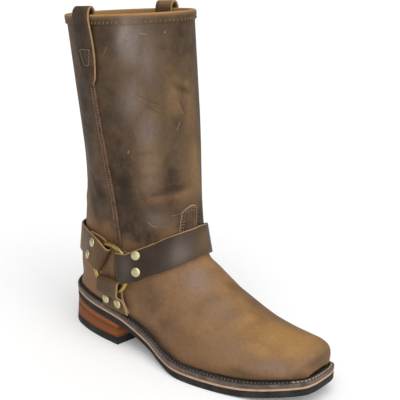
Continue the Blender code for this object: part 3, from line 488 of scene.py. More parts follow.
# The same round the toe, by angle from straight ahead
TOE_LINE = (212.0, 3.0)
TOE_CREASES = (
    (-34.0, 34.5, 38.0, 34.5, 0.0, -0.8, 6.5),
    (-32.0, 44.6, 36.0, 44.6, 0.4, 0.6, 2.6),
)
WRINKLE_SHADE = (0.5, 0.47, 0.45)  # what troughs and wrinkles multiply the colour by
# The tone of a crease is painted light: a highlight on its ridge and shade in its trough.
FULL_BEND = 1.2  # height of a crease that shows in full in the leather's tone

# Patches where the leather's tone leaves its common brown, in the order in which they cover each other: middle
# x, y, z, reach along each axis, strength
TONES = {
    # The umber patch at (251, 3, 42) is painted shade on the toe's front face.
    "umber": (
        (194, -38, 23, 18, 8, 5, 0.6), (88, -44, 66, 26, 16, 28, 0.55), (108, -42, 46, 20, 14, 16, 0.5),
        (251, 3, 42, 8, 34, 8, 0.74), (243, -20, 30, 12, 9, 6, 0.6), (140, 12, 74, 8, 8, 8, 0.6),
        (178, 9, 58, 9, 7, 8, 0.6), (72, -46, 30, 44, 14, 11, 0.7), (34, 0, 240, 190, 170, 110, 1.0),
        (34, 0, 306, 190, 170, 40, 1.0), (56, 0, 146, 110, 110, 30, 1.0),
    ),
    # The gold patch at (28, 48, 331) is painted light on the inner pull loop's arch, where it lies in shade.
    "gold": (
        (228, -2, 51, 17, 30, 9, 1.0), (213, -2, 52, 34, 28, 12, 0.9), (188, -4, 56, 32, 26, 13, 0.65),
        (164, -2, 64, 30, 26, 14, 0.5), (138, 0, 77, 28, 26, 16, 0.42), (116, 4, 96, 14, 22, 16, 0.4),
        (114, 4, 117, 8, 12, 16, 0.7), (28, 48, 331, 20, 9, 9, 0.5), (206, -26, 46, 24, 12, 9, 0.6),
        (150, -42, 34, 30, 12, 14, 0.08),
    ),
    # The tan patches at (-6, -34, 165) and (-14, -30, 205), along the back edge of the shaft, are partly a painted
    # reflection there.
    "tan": (
        (101, 0, 240, 6, 12, 44, 0.6), (105, 1, 190, 6, 11, 40, 0.68), (95, -16, 250, 12, 11, 30, 0.55),
        (84, -30, 240, 12, 10, 24, 0.45), (80, -32, 196, 13, 12, 26, 0.65), (74, -36, 244, 16, 12, 22, 0.4),
        (-6, -34, 165, 14, 12, 46, 0.4), (-14, -30, 205, 10, 12, 80, 0.55), (80, 32, 200, 14, 12, 40, 0.45),
    ),
    # Dark patches are mostly oil gathered in the leather; the one at (42, -54, 60) is painted shade where the outer
    # lower strap lies on the upper.
    "dark": (
        (17, -52, 296, 17, 12, 44, 1.0), (22, 52, 290, 17, 12, 36, 0.8), (44, -46, 304, 16, 14, 22, 0.5),
        (48, -52, 324, 24, 14, 9, 0.4), (42, -46, 240, 15, 14, 56, 0.4), (50, -43, 196, 18, 12, 34, 0.6),
        (48, -40, 160, 22, 14, 50, 0.85), (64, -37, 125, 32, 16, 18, 0.95), (14, -39, 150, 18, 14, 38, 0.65),
        (5, -44, 226, 13, 12, 70, 0.75), (93, -18, 174, 12, 11, 22, 0.75), (97, -14, 228, 9, 9, 14, 0.5),
        (92, -6, 304, 14, 22, 20, 0.6), (106, 2, 138, 7, 14, 16, 0.8), (104, -13, 132, 5, 13, 18, 0.8),
        (42, -54, 60, 24, 9, 20, 0.45), (28, -53, 96, 12, 9, 16, 0.35), (93, 18, 172, 12, 12, 22, 0.6),
        (47, 40, 170, 20, 16, 50, 0.7), (44, 45, 240, 16, 14, 60, 0.6), (50, 38, 130, 24, 16, 16, 0.6),
    ),
    # These patches are a painted sheen: a grey highlight painted where the waxed leather catches the light, on the
    # front of the shaft, the instep, the vamp and the front strap.
    "bloom": (
        (124, -14, 83, 24, 16, 16, 0.5), (156, -14, 64, 30, 16, 12, 0.4), (107, -20, 108, 9, 15, 13, 0.4),
        (63, -52, 94, 6, 8, 12, 0.16), (222, -30, 34, 26, 14, 10, 0.4), (182, -34, 40, 26, 16, 14, 0.25),
        (66, -41, 303, 15, 12, 28, 0.75), (77, -34, 290, 14, 12, 34, 0.45), (66, -40, 252, 16, 12, 26, 0.5),
        (78, -34, 222, 13, 12, 24, 0.5), (79, -32, 186, 10, 11, 26, 0.4), (82, -29, 138, 14, 11, 11, 0.4),
        (70, 39, 300, 20, 14, 30, 0.4),
    ),
}
# How ragged the edges of each tone's patches are
TONE_EDGES = {"umber": 0.5, "gold": 0.4, "tan": 1.6, "dark": 1.6, "bloom": 1.0}

# Scratches and rubs of the shaft, and dark wrinkles (strength below 0) as painted shade in their troughs with faint
# painted highlights (strength 0.1 to 0.16) beside them: angle, z, angle, z, wide, strength
STROKES = (
    (-18.4, 142.6, -11.7, 145.3, 0.5, 0.8),
    (-36.9, 134.6, -33.4, 131.3, 0.6, 0.7),
    (-33.4, 131.3, -29.4, 131.0, 0.6, 0.7),
    (-41.3, 308.9, -35.9, 308.1, 0.5, 0.8),
    (-79.8, 289.4, -75.8, 295.8, 0.4, 0.6),
    (-13.3, 223.2, -10.9, 230.3, 0.5, 0.6),
    (-56.4, 200.0, -55.4, 202.6, 1.0, 0.6),
    (-19.4, 309.0, -18.8, 310.0, 0.9, 0.7),
    (-44.0, 250.0, -36.0, 246.0, 1.6, -0.24),
    (-36.0, 246.0, -29.0, 244.4, 1.6, -0.24),
    (-43.0, 251.4, -35.6, 247.4, 1.4, 0.1),
    (-38.0, 244.6, -31.0, 242.6, 1.6, -0.24),
    (-31.0, 242.6, -25.0, 238.4, 1.6, -0.24),
    (-31.0, 244.0, -25.0, 239.9, 1.4, 0.1),
    (-34.0, 250.0, -26.0, 246.4, 1.2, -0.25),
    (-46.0, 255.4, -36.0, 252.0, 1.4, -0.25),
    (-9.0, 249.0, -5.6, 237.0, 2.0, -0.35),
    (-12.0, 248.0, -8.6, 238.0, 1.8, 0.16),
    (-33.0, 161.5, -22.0, 164.2, 1.8, -0.3),
    (-42.0, 200.6, -30.0, 202.4, 1.6, -0.2),
)
# The same on the vamp, by x and by angle from straight up
VAMP_STROKES = (
    (105.4, -31.0, 101.5, -45.5, 0.5, 0.5),
    (92.0, -47.0, 99.5, -48.0, 0.5, 0.5),
    (233.4, -27.0, 234.0, -40.0, 0.8, 0.35),
    (180.0, -62.0, 175.0, -78.0, 1.0, 0.3),
)


class Value:
    """What varies over a surface, as the socket that gives it. Sums and products add the nodes they need."""

    def __init__(self, paint, socket):
        self.paint, self.socket = paint, socket

    def maths(self, operation, *terms):
        return self.paint.node("ShaderNodeMath", {"operation": operation}, dict(enumerate(terms)))

    def __add__(self, other):
        return self.maths("ADD", self, other)

    def __sub__(self, other):
        return self.maths("SUBTRACT", self, other)

    def __rsub__(self, other):
        return self.maths("SUBTRACT", other, self)

    def __mul__(self, other):
        return self.maths("MULTIPLY", self, other)

    def __truediv__(self, other):
        return self.maths("DIVIDE", self, other)

    __radd__, __rmul__ = __add__, __mul__

    def step(self, low, high):
        """0 at low and 1 at high, smooth between."""
        return self.paint.node("ShaderNodeMapRange", {"interpolation_type": "SMOOTHSTEP"},
                               {"Value": self, "From Min": low, "From Max": high})

    def sine(self):
        return self.maths("SINE", self)


class Paint:
    """The nodes of one finish."""

    def __init__(self, name):
        self.made = bpy.data.materials.new(name)
        self.made.use_nodes = True
        self.tree = self.made.node_tree
        self.tree.nodes.clear()
        self.place = self.node("ShaderNodeTexCoord", {}, {}, "Object")

    def node(self, kind, settings, sockets, output=0):
        """A node of this kind with its settings and the values or links of its sockets, as one of its outputs."""
        made = self.tree.nodes.new(kind)
        for name, setting in settings.items():
            setattr(made, name, setting)
        for key, value in sockets.items():
            if isinstance(value, Value):
                self.tree.links.new(value.socket, made.inputs[key])
            else:
                made.inputs[key].default_value = value
        return Value(self, made.outputs[output]) if made.outputs else None

    def vector(self, operation, *terms, **sockets):
        return self.node("ShaderNodeVectorMath", {"operation": operation}, {**dict(enumerate(terms)), **sockets},
                         1 if operation in ("LENGTH", "DOT_PRODUCT") else 0)

    def mottle(self, size, detail=3.0, rough=0.5, stretch=(1.0, 1.0, 1.0), shift=0.0):
        """Soft clouds from 0 to 1, about this many millimetres across."""
        place = self.node("ShaderNodeMapping", {}, {"Vector": self.place, "Location": (shift,) * 3, "Scale": stretch})
        return self.node("ShaderNodeTexNoise", {}, {
            "Vector": place, "Scale": 1000 / size, "Detail": detail, "Roughness": rough})

    def cells(self, size):
        """Distance within cells about this many millimetres across, as the grain of a hide has."""
        return self.node("ShaderNodeTexVoronoi", {}, {"Vector": self.place, "Scale": 1000 / size})

    def mark(self, name):
        """A value kept at the points of the mesh."""
        return self.node("ShaderNodeAttribute", {"attribute_name": name}, {}, "Fac")

    def height(self):
        return self.node("ShaderNodeSeparateXYZ", {}, {0: self.place}, 2)

    def blend(self, share, one, two, how="MIX"):
        """Colour that goes from one to two, or to their product, as share goes from 0 to 1."""
        whole = lambda c: c if isinstance(c, Value) else (*c[:3], 1.0)
        return self.node("ShaderNodeMix", {"data_type": "RGBA", "blend_type": how, "clamp_factor": True},
                         {0: share, 6: whole(one), 7: whole(two)}, 2)

    def tint(self, share, colour, shade):
        """Colour multiplied by a shade where share is 1."""
        return self.blend(share, colour, shade, "MULTIPLY")

    def stroke(self, start, end, wide):
        """1 along a straight stroke between two places, fading over its width. Millimetres."""
        start, run = MM * np.array(start), MM * (np.array(end) - np.array(start))
        off = self.vector("SUBTRACT", self.place, tuple(start))
        share = self.vector("DOT_PRODUCT", off, tuple(run)) / float(run @ run)
        share = self.node("ShaderNodeClamp", {}, {"Value": share})
        gap = self.vector("LENGTH", self.vector("SUBTRACT", off, self.vector("SCALE", tuple(run), Scale=share)))
        return gap.step(wide * MM, 0.15 * wide * MM)

    def finish(self, colour, roughness, height=None, relief=0.2, coat=None, **even):
        """The surface itself. relief is the height of the bumps in millimetres."""
        sockets = {"Base Color": colour, "Roughness": roughness, **{k.replace("_", " "): v for k, v in even.items()}}
        if coat is not None:
            sockets["Coat Weight"] = coat
        if height is not None:
            sockets["Normal"] = self.node("ShaderNodeBump", {}, {
                "Strength": 1.0, "Distance": relief * MM, "Height": height})
        self.node("ShaderNodeOutputMaterial", {}, {"Surface": self.node("ShaderNodeBsdfPrincipled", {}, sockets)})
        return self.made


def oiled_leather(name, look, strokes=()):
    """Pull-up leather: umber on the shaft, gold or tan where it is rubbed and dark where oil gathers. Painted light
    is laid on it as well: a painted sheen where the waxed leather catches the light, painted highlight and shade on
    the creases and wrinkles, painted shade beside the outer lower strap and on the toe's front face, painted light on
    the inner pull loop and a painted reflection along the back of the shaft.
    """
    p = Paint(name)
    broad, cloud, fine = p.mottle(46, 4.0), p.mottle(14, 6.0, 0.66), p.mottle(3.0, 5.0, 0.65)
    streak = p.mottle(15, 6.0, 0.66, (1.0, 1.0, 0.4), 7.0)
    level = p.mottle(5.0, 4.0, 0.6, (1.0, 1.0, 3.2), 3.0)
    pores, speck = p.cells(0.95), p.mottle(1.2, 3.0, 0.6, shift=2.0)
    ragged = 1.1 * (cloud - 0.5) + 0.9 * (streak - 0.5)
    colour = p.blend(broad.step(0.3, 0.75) * 0.5, look.saddle, look.deep)
    for tone, edge in TONE_EDGES.items():
        share = (p.mark(tone) * (1 + edge * ragged)).step(0.02, 0.98)
        colour = p.blend(share, colour, getattr(look, tone))
    calm = (0.45 + 0.55 * p.mark("umber")) * (1 - 0.4 * p.mark("gold"))
    for share, shade in (
        # Painted highlight on the ridges of creases, partly the lightening of stretched pull-up leather, and painted
        # shade in their troughs
        (p.mark("ridge") * 0.6, (1.6, 1.48, 1.3)),
        (p.mark("trough") * 0.9, WRINKLE_SHADE),
        (cloud.step(0.42, 0.7) * 0.55 * calm, (0.66, 0.63, 0.6)),
        (streak.step(0.5, 0.74) * 0.6 * calm, (1.45, 1.36, 1.22)),
        (fine.step(0.45, 0.75) * 0.5, (0.7, 0.68, 0.66)),
        (speck.step(0.5, 0.75) * 0.45, (0.74, 0.73, 0.72)),
        (level.step(0.55, 0.75) * 0.35, (1.35, 1.3, 1.2)),
    ):
        colour = p.tint(share, colour, shade)
    for first, second, wide, strength in strokes:
        line = p.stroke(first, second, wide) * abs(strength)
        # Strokes below 0 are painted shade in wrinkles; the faint light ones beside them are painted highlights, the
        # rest are scratches.
        colour = p.blend(line, colour, look.rub) if strength > 0 else p.tint(line, colour, WRINKLE_SHADE)
    rough = 0.5 + 0.16 * cloud + 0.1 * fine
    height = 0.5 * pores.step(0.0, 0.7) + 0.35 * fine + 0.6 * speck + 0.7 * level
    return p.finish(colour, rough, height, 0.26, 0.04 + 0.36 * p.mark("bloom"), Specular_IOR_Level=0.14,
                    Coat_Roughness=0.42)


def strap_leather(name, look, shade, worn):
    """Harness leather: darker and harder than the upper, waxed."""
    p = Paint(name)
    broad, cloud, fine = p.mottle(30, 4.0, shift=5.0), p.mottle(7, 5.0, 0.6, shift=5.0), p.mottle(2.0, 3.0)
    colour = p.blend(broad.step(0.35, 0.72), shade, worn)
    colour = p.blend(cloud.step(0.58, 0.8) * 0.2, colour, look.strap_rub)
    # The sheen patches lay a painted highlight on the straps, and the dark patch by the outer lower strap lays
    # painted shade on it.
    for tone, tone_shade in (("gold", look.strap_rub), ("dark", look.strap), ("bloom", look.bloom)):
        colour = p.blend(p.mark(tone), colour, tone_shade)
    height = 0.45 * p.cells(0.8).step(0.0, 0.7) + 0.4 * fine + 0.5 * p.mottle(1.1, 3.0)
    return p.finish(colour, 0.42 + 0.18 * cloud, height, 0.16, 0.05 + 0.4 * p.mark("bloom"),
                    Specular_IOR_Level=0.14, Coat_Roughness=0.36)


def strip_leather(name, look):
    """Thin red-brown strip of a seam."""
    p = Paint(name)
    cloud, fine = p.mottle(6, 5.0, 0.6), p.mottle(1.6, 3.0)
    colour = p.blend(cloud.step(0.35, 0.75), look.strip, look.dark)
    return p.finish(colour, 0.45 + 0.2 * cloud, 0.6 * p.cells(0.8).step(0.0, 0.7) + 0.5 * fine, 0.14,
                    Specular_IOR_Level=0.15)


def raw_leather(name, shade, deep):
    """Cut edge or flesh side: pale, matt and fibrous."""
    p = Paint(name)
    fibre, cloud = p.mottle(0.7, 4.0, 0.65, (1.0, 1.0, 2.5)), p.mottle(9, 4.0, 0.6)
    colour = p.blend(0.65 * fibre.step(0.4, 0.7) + 0.3 * cloud.step(0.45, 0.75), shade, deep)
    return p.finish(colour, 0.68 + 0.2 * fibre, fibre, 0.14, Specular_IOR_Level=0.25)


def welt_leather(name, look):
    """Dressed edge and ledge of the welt, grey-brown with wax and dust."""
    p = Paint(name)
    cloud, fine = p.mottle(8, 5.0, 0.62), p.mottle(1.3, 4.0, 0.6)
    colour = p.blend(cloud.step(0.35, 0.7), look.welt, look.welt_deep)
    colour = p.blend(fine.step(0.55, 0.75) * 0.5, colour, look.welt_dust)
    return p.finish(colour, 0.5 + 0.2 * cloud, 0.6 * fine + 0.4 * cloud, 0.2, Specular_IOR_Level=0.28)


def black_groove(name, look):
    """Lip and groove beside the upper, black partly for their wax and partly as painted shade where the upper
    overhangs them.
    """
    p = Paint(name)
    fine = p.mottle(1.0, 4.0, 0.6)
    colour = p.blend(fine.step(0.5, 0.8) * 0.6, look.groove, look.welt_deep)
    return p.finish(colour, 0.5 + 0.25 * fine, fine, 0.18, Specular_IOR_Level=0.3)


def sole_rubber(name, look):
    """Moulded rubber with dust in its pores."""
    p = Paint(name)
    cloud, fine = p.mottle(12, 4.0, 0.6), p.mottle(0.9, 4.0, 0.65)
    scrape = p.mottle(2.2, 3.0, 0.5, (0.3, 0.3, 1.6), 2.0)
    colour = p.blend(cloud.step(0.4, 0.75) * 0.6, look.rubber, look.rubber_dust)
    colour = p.blend(scrape.step(0.6, 0.8) * 0.4, colour, look.rubber_dust)
    return p.finish(colour, 0.55 + 0.25 * fine, fine + 0.5 * scrape, 0.16, Specular_IOR_Level=0.2)


def stacked_leather(name, look):
    """Lifts of a leather heel, stained red-brown and burnished, each of its own tone."""
    p = Paint(name)
    lift = p.mark("lift")
    cloud, fibre = p.mottle(14, 4.0, 0.6, (1.0, 1.0, 2.0)), p.mottle(1.0, 4.0, 0.6, (0.25, 0.25, 3.0))
    wave = (lift * 12.6 + 1.6 * cloud).sine() * 0.5 + 0.5
    colour = p.blend(wave.step(0.2, 0.85) * 0.75, look.stack, look.stack_deep)
    colour = p.blend(fibre.step(0.5, 0.78) * 0.45, colour, look.stack_light)
    colour = p.blend(p.mark("joint"), colour, look.stack_joint)
    return p.finish(colour, 0.4 + 0.2 * cloud + 0.1 * fibre, fibre, 0.1, Specular_IOR_Level=0.06)


def brass(name, shade, deep, rough):
    """Cast brass, brushed by wear and dulled in patches."""
    p = Paint(name)
    cloud, fine = p.mottle(5, 4.0, 0.6), p.mottle(0.8, 4.0, 0.6)
    colour = p.blend(cloud.step(0.4, 0.75) * 0.8, shade, deep)
    return p.finish(colour, rough + 0.16 * cloud + 0.08 * fine, 0.7 * fine + 0.5 * cloud, 0.06, Metallic=1.0)


def thread(name, shade, deep):
    """Waxed thread with its twist."""
    p = Paint(name)
    cloud = p.mottle(4, 4.0, 0.6)
    twist = ((p.height() + p.vector("DOT_PRODUCT", p.place, (0.8, 0.6, 0.0))) * (2 * math.pi / (0.9 * MM))).sine()
    colour = p.blend(cloud.step(0.4, 0.7), shade, deep)
    return p.finish(colour, 0.55 + 0.15 * cloud, twist, 0.1, Specular_IOR_Level=0.35)


def lining(name, look):
    """Pigskin lining, dull and a little grey."""
    p = Paint(name)
    cloud, fine = p.mottle(16, 5.0, 0.6), p.mottle(1.4, 4.0, 0.6)
    colour = p.blend(cloud.step(0.35, 0.75), look.lining, look.lining_deep)
    return p.finish(colour, 0.66 + 0.16 * fine, 0.6 * fine + 0.6 * p.cells(1.6).step(0.0, 0.6), 0.2,
                    Specular_IOR_Level=0.3)


def quads(index):
    """Faces between the neighbours of a grid of point numbers."""
    cells = np.stack([index[:-1, :-1], index[:-1, 1:], index[1:, 1:], index[1:, :-1]], -1)
    return cells.reshape(-1, 4)


def closed_grid(rows, count):
    """Point numbers of a grid whose rows close on themselves."""
    index = np.arange(rows * count).reshape(rows, count)
    return np.hstack([index, index[:, :1]])


def walls(line, step):
    """Faces between a line of point numbers and the line that lies step numbers on."""
    return [(a, b, b + step, a + step) for a, b in zip(line[:-1], line[1:])]


def merged(parts):
    """Points and faces of several meshes as those of one."""
    points, faces, count = [], [], 0
    for part, part_faces in parts:
        faces += [tuple(int(i) + count for i in face) for face in part_faces]
        points.append(part)
        count += len(part)
    return np.vstack(points), faces


def turns(count):
    """Evenly spaced angles once round."""
    return np.linspace(0, 2 * math.pi, count, endpoint=False)


def piece(name, points, faces, finishes, nodes=(), which=None, body="boot", marks=None, crease=48.0):
    """One visible piece from points in millimetres, on its body, in place of the named solids."""
    mesh = bpy.data.meshes.new(name)
    mesh.from_pydata((MM * np.asarray(points, float)).tolist(), [], [tuple(map(int, f)) for f in faces])
    for finish in finishes:
        mesh.materials.append(finish)
    if which is not None:
        mesh.polygons.foreach_set("material_index", np.asarray(which, np.int32))
    for label, values in (marks or {}).items():
        mesh.attributes.new(label, "FLOAT", "POINT").data.foreach_set("value", np.asarray(values, np.float32))
    work = bmesh.new()
    work.from_mesh(mesh)
    bmesh.ops.remove_doubles(work, verts=work.verts, dist=2e-6)
    bmesh.ops.recalc_face_normals(work, faces=work.faces)
    work.to_mesh(mesh)
    work.free()
    mesh.shade_smooth()
    mesh.set_sharp_from_angle(angle=math.radians(crease))
    made = bpy.data.objects.new(name, mesh)
    bpy.context.scene.collection.objects.link(made)
    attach(made, body)
    if nodes:
        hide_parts(*nodes)
    return made


def round_skin(rounds):
    """Points and faces of closed sections carried round a closed path, and the section's side of each face."""
    rounds = np.asarray(rounds)
    rows, count = rounds.shape[:2]
    index = closed_grid(rows, count)
    return rounds.reshape(-1, 3), quads(np.vstack([index, index[:1]])), np.tile(np.arange(count), rows)


def stack_skin(loops):
    """Points and faces of a skin over loops of equal count with both ends filled from their middles."""
    loops = np.asarray(loops)
    rows, count = loops.shape[:2]
    index = closed_grid(rows, count)
    points = np.vstack([loops.reshape(-1, 3), loops[0].mean(0), loops[-1].mean(0)])
    faces = quads(index).tolist()
    for row, hub in ((0, rows * count), (rows - 1, rows * count + 1)):
        faces += [(a, b, hub) for a, b in zip(index[row, :-1], index[row, 1:])]
    return points, faces


def tones(points):
    """Strength of each leather tone at the points."""
    found = {}
    for tone, patches in TONES.items():
        found[tone] = np.zeros(len(points))
        for x, y, z, a, b, c, strength in patches:
            far = ((points - (x, y, z)) / (a, b, c)) ** 2
            found[tone] = np.maximum(found[tone], strength * np.exp(-far.sum(1)))
    return found


def vamp_at(skin, x, angle):
    """Place on the vamp above x, by angle from straight up."""
    r = math.radians(angle)
    return skin.hit((x, 2.0, 26.0), (0.12 * math.cos(r), math.sin(r), math.cos(r)))[0]


def crease_lines(skin):
    """Every crease as points on the upper with its depth and width."""
    share = np.linspace(0, 1, 9)
    bowed = np.sin(math.pi * share)
    for line, creases in ((SHAFT_LINE, SHAFT_CREASES), (TOE_LINE, TOE_CREASES)):
        for a, z0, b, z1, bow, deep, wide in creases:
            places = zip(a + (b - a) * share, z0 + (z1 - z0) * share + bow * bowed)
            yield np.array([skin.round(line, angle, z)[0] for angle, z in places]), deep, wide
    for x0, a, x1, b, bow, deep, wide in VAMP_CREASES:
        places = zip(x0 + (x1 - x0) * share + bow * bowed, a + (b - a) * share)
        yield np.array([vamp_at(skin, x, angle) for x, angle in places]), deep, wide


def folded(skin, points):
    """How far each point of the upper moves along its normal for the creases."""
    moved = np.zeros(len(points))
    for line, deep, wide in crease_lines(skin):
        near = np.flatnonzero(np.linalg.norm(points - line.mean(0), axis=1)
                              < np.linalg.norm(line - line.mean(0), axis=1).max() + 3 * wide)
        p = points[near]
        best, share = np.full(len(p), 1e9), np.zeros(len(p))
        for k in range(len(line) - 1):
            run = line[k + 1] - line[k]
            t = np.clip((p - line[k]) @ run / (run @ run), 0, 1)
            gap = np.linalg.norm(p - line[k] - t[:, None] * run, axis=1)
            closer = gap < best
            best[closer], share[closer] = gap[closer], (k + t[closer]) / (len(line) - 1)
        fade = np.clip(np.sin(math.pi * np.clip(share, 0.001, 0.999)), 0, 1) ** 0.7
        moved[near] += deep * np.exp(-((best / wide) ** 2)) * fade
    return moved


def bends(moved):
    """Shares of painted highlight on the ridges of the creases, which stands also for stretched pull-up leather
    lightening there, and of painted shade in their troughs, on both faces.
    """
    share = np.tile(moved / FULL_BEND, 2)
    return {"ridge": np.clip(share, 0, 1), "trough": np.clip(-share, 0, 1)}


def make_upper(skin, finishes):
    """The upper with its creases pressed in, its lining, and the edges between them at the welt and the collar."""
    grid, normal, weld = upper_form(UPPER_ROWS, UPPER_COLUMNS)
    rows, count = grid.shape[:2]
    move = folded(skin, grid.reshape(-1, 3)).reshape(rows, count)
    move[:, -1] = np.where(np.arange(rows) >= weld, move[:, 0], move[:, -1])
    for none, full in (CREASED_FROM, CREASED_TO):
        move *= np.clip((grid[..., 2] - none) / (full - none), 0, 1)
    outer = grid + normal * move[..., None]
    inner = grid - normal * (WALL - np.minimum(move, 0))[..., None]
    inner[: weld + 1, [0, -1], 2] = grid[: weld + 1, [0, -1], 2]
    inner[0, :, 2] = grid[0, :, 2]
    index = np.arange(rows * count).reshape(rows, count)
    index[weld:, -1] = index[weld:, 0]
    rim = np.r_[index[:weld, 0][::-1], index[0, 1:-1], index[:weld, -1], index[weld, 0]]
    sheet = quads(index)
    parts = ((sheet.tolist(), 0), ((sheet + rows * count).tolist(), 1),
             (walls(np.r_[rim, rim[:1]], rows * count), 0), (walls(index[-1], rows * count), 1))
    clean = [(tuple(dict.fromkeys(face)), finish) for faces, finish in parts for face in faces]
    faces, which = zip(*(pair for pair in clean if len(pair[0]) > 2))
    points = np.vstack([outer.reshape(-1, 3), inner.reshape(-1, 3)])
    piece("boot_upper", points, faces, finishes, ["upper"], which,
          marks={**tones(points), **bends(move.ravel())}, crease=75.0)


def edged(count, border):
    """Fractions from 0 to 1 with a narrow step at both ends for a rounded edge."""
    return np.r_[0.0, border, np.linspace(2.5 * border, 1 - 2.5 * border, count), 1 - border, 1.0]


def make_panel(name, hits, low, high, finishes, node, pared=False):
    """Thin leather over a grid of (point, normal) hits with rounded, raw edges, broader where it is pared."""
    place, normal = (np.array([[hit[k] for hit in row] for row in hits]) for k in (0, 1))
    for _ in range(3):
        soft = normal.copy()
        soft[1:-1] += 0.5 * (normal[:-2] + normal[2:])
        soft[:, 1:-1] += 0.5 * (normal[:, :-2] + normal[:, 2:])
        normal = unit(soft)
    rows, count = place.shape[:2]
    lift = np.full((rows, count), high)
    lift[[0, -1]] = lift[:, [0, -1]] = (low + 1.6 * high) / 2.6
    points = np.vstack([(place + normal * low).reshape(-1, 3), (place + normal * lift[..., None]).reshape(-1, 3)])
    index = np.arange(rows * count).reshape(rows, count)
    rim = np.r_[index[0], index[1:, -1], index[-1, -2::-1], index[-2:0:-1, 0], index[0, :1]]
    border = np.ones((rows - 1, count - 1), int)
    border[1:-1, 1:-1] = 0
    sheet, edge = quads(index), walls(rim, rows * count)
    which = [0] * len(sheet) + (border.ravel() * pared).tolist() + [1] * len(edge)
    piece(name, points, [*sheet, *(sheet + rows * count), *edge], finishes, [node], which,
          marks=tones(points), crease=60.0)


def counter_at(skin, angle, share):
    """Hit on the heel counter, by angle about its line and by the share of its height there."""
    back = abs(angle + 180) / (COUNTER_ARC / 2)
    foot_x = COUNTER_LINE[0] + (46 - 10 * back) * math.cos(math.radians(angle))
    foot = feather_z(foot_x) + LIP_RISE + 1.3
    return skin.round(COUNTER_LINE, angle, foot + (COUNTER_TOP - COUNTER_FALL * back - foot) * share)


def strip_at(skin, side, share, across):
    """Hit on a side seam's strip, by the share of the way down it and by the distance across."""
    (x0, z0), (x1, z1) = SEAM_TOP[side], SEAM_FOOT
    top = z0 - LOOP_OUTSIDE + 3
    z = top + (z1 + 0.6 - top) * share
    return skin.hit((x0 + (x1 - x0) * (z0 - z) / (z0 - z1) + across, 0, z), (0, side, 0))


def tab_at(skin, f, share):
    """Hit on the front tab, from -1 to 1 across it and by the share of its height there."""
    foot_turn, top_turn = ((a + b) / 2 + (b - a) / 2 * f for a, b in (TAB_FOOT_ARC, TAB_TOP_ARC))
    height = TAB_FOOT + (float(along(TAB_EDGE, f)) - TAB_FOOT) * share
    return skin.round(TAB_LINE, foot_turn + (top_turn - foot_turn) * share, height)


def make_panels(skin, leather, strip, raw):
    """Heel counter, strips of the side seams and front tab."""
    angles = COUNTER_FROM - COUNTER_ARC * edged(110, 0.0022)
    hits = [[counter_at(skin, a, s) for s in edged(30, 0.008)] for a in angles]
    make_panel("heel_counter", hits, 2 * GAP, 2 * GAP + COUNTER_THICK, (leather, raw), "counter")
    for side, label in SIDES:
        width = STRIP_WIDTH * (edged(3, 0.07) - 0.5)
        hits = [[strip_at(skin, side, s, d) for d in width] for s in np.linspace(0, 1, 90)]
        make_panel(f"seam_strip_{label}", hits, GAP, GAP + STRIP_THICK, (strip, strip),
                   f"side_strip_{label}")
    hits = [[tab_at(skin, f, s) for s in edged(18, 0.03)] for f in 2 * edged(24, 0.04) - 1]
    make_panel("front_tab", hits, GAP, GAP + TAB_THICK, (leather, raw), "vamp_tab", True)


def collar_profile():
    """Section of the collar's roll as distances outwards and down from the rim."""
    a, b = GAP, GAP + BIND_THICK
    mid, reach = -WALL / 2, WALL / 2 + b
    outer = [(a, BIND_DROP), (a + 0.55, BIND_DROP), (a + 0.75, BIND_DROP - 0.4), (a + 0.7, 5.2), (b - 0.1, 4.0),
             (b + 0.12, 2.6)]
    roll = [(mid + (reach + 0.1) * math.cos(t), -0.3 - (b + 0.1) * math.sin(t) ** 0.8)
            for t in np.linspace(0, math.pi, 13)]
    inner = [(-WALL - n, h) for n, h in outer[::-1]]
    return outer + roll + inner + [(-WALL - a, -a * 0.5), (a, -a * 0.5)]


def make_binding(leather):
    """Rolled collar with a rubbed rim. Gives the line of its stitches and the way out of it."""
    grid, normal, _ = upper_form(UPPER_ROWS, UPPER_COLUMNS)
    rim, out = grid[-1], normal[-1]
    down = unit(grid[-4] - rim)
    profile = collar_profile()
    rounds = [[rim[j] + out[j] * n + down[j] * h for n, h in profile] for j in range(len(rim) - 1)]
    points, faces, _ = round_skin(rounds)
    rubbed = np.tile([0.6 if n < -WALL else min(max((0.6 - h) / 2.8, 0.0), 0.8) for n, h in profile], len(rounds))
    marks = {tone: share * (1 - rubbed) for tone, share in tones(points).items()}
    marks["gold"] += rubbed
    piece("collar_roll", points, faces, (leather,), ["collar_binding"], marks=marks, crease=50.0)
    return rim + out * (GAP + 0.7) + down * BIND_SEAM, out


def smooth_line(points, step):
    """Points of a smooth curve through the given ones, about step apart."""
    points = np.asarray(points, float)
    flat = points.reshape(len(points), -1)
    run = run_of(flat)
    gap = np.diff(run)
    at = np.unique(np.concatenate([
        np.linspace(a, b, max(2, math.ceil((b - a) / step) + 1)) for a, b in zip(run, run[1:])]))
    way = np.diff(flat, axis=0) / gap[:, None]
    middle = (way[:-1] * gap[1:, None] + way[1:] * gap[:-1, None]) / (gap[1:] + gap[:-1])[:, None]
    slope = np.vstack([way[:1], middle, way[-1:]])
    i = np.clip(np.searchsorted(run, at, side="right") - 1, 0, len(gap) - 1)
    h, t = gap[i][:, None], ((at - run[i]) / gap[i])[:, None]
    curve = hermite(t, flat[i], flat[i + 1], h * slope[i], h * slope[i + 1])
    return curve.reshape(len(at), *points.shape[1:])


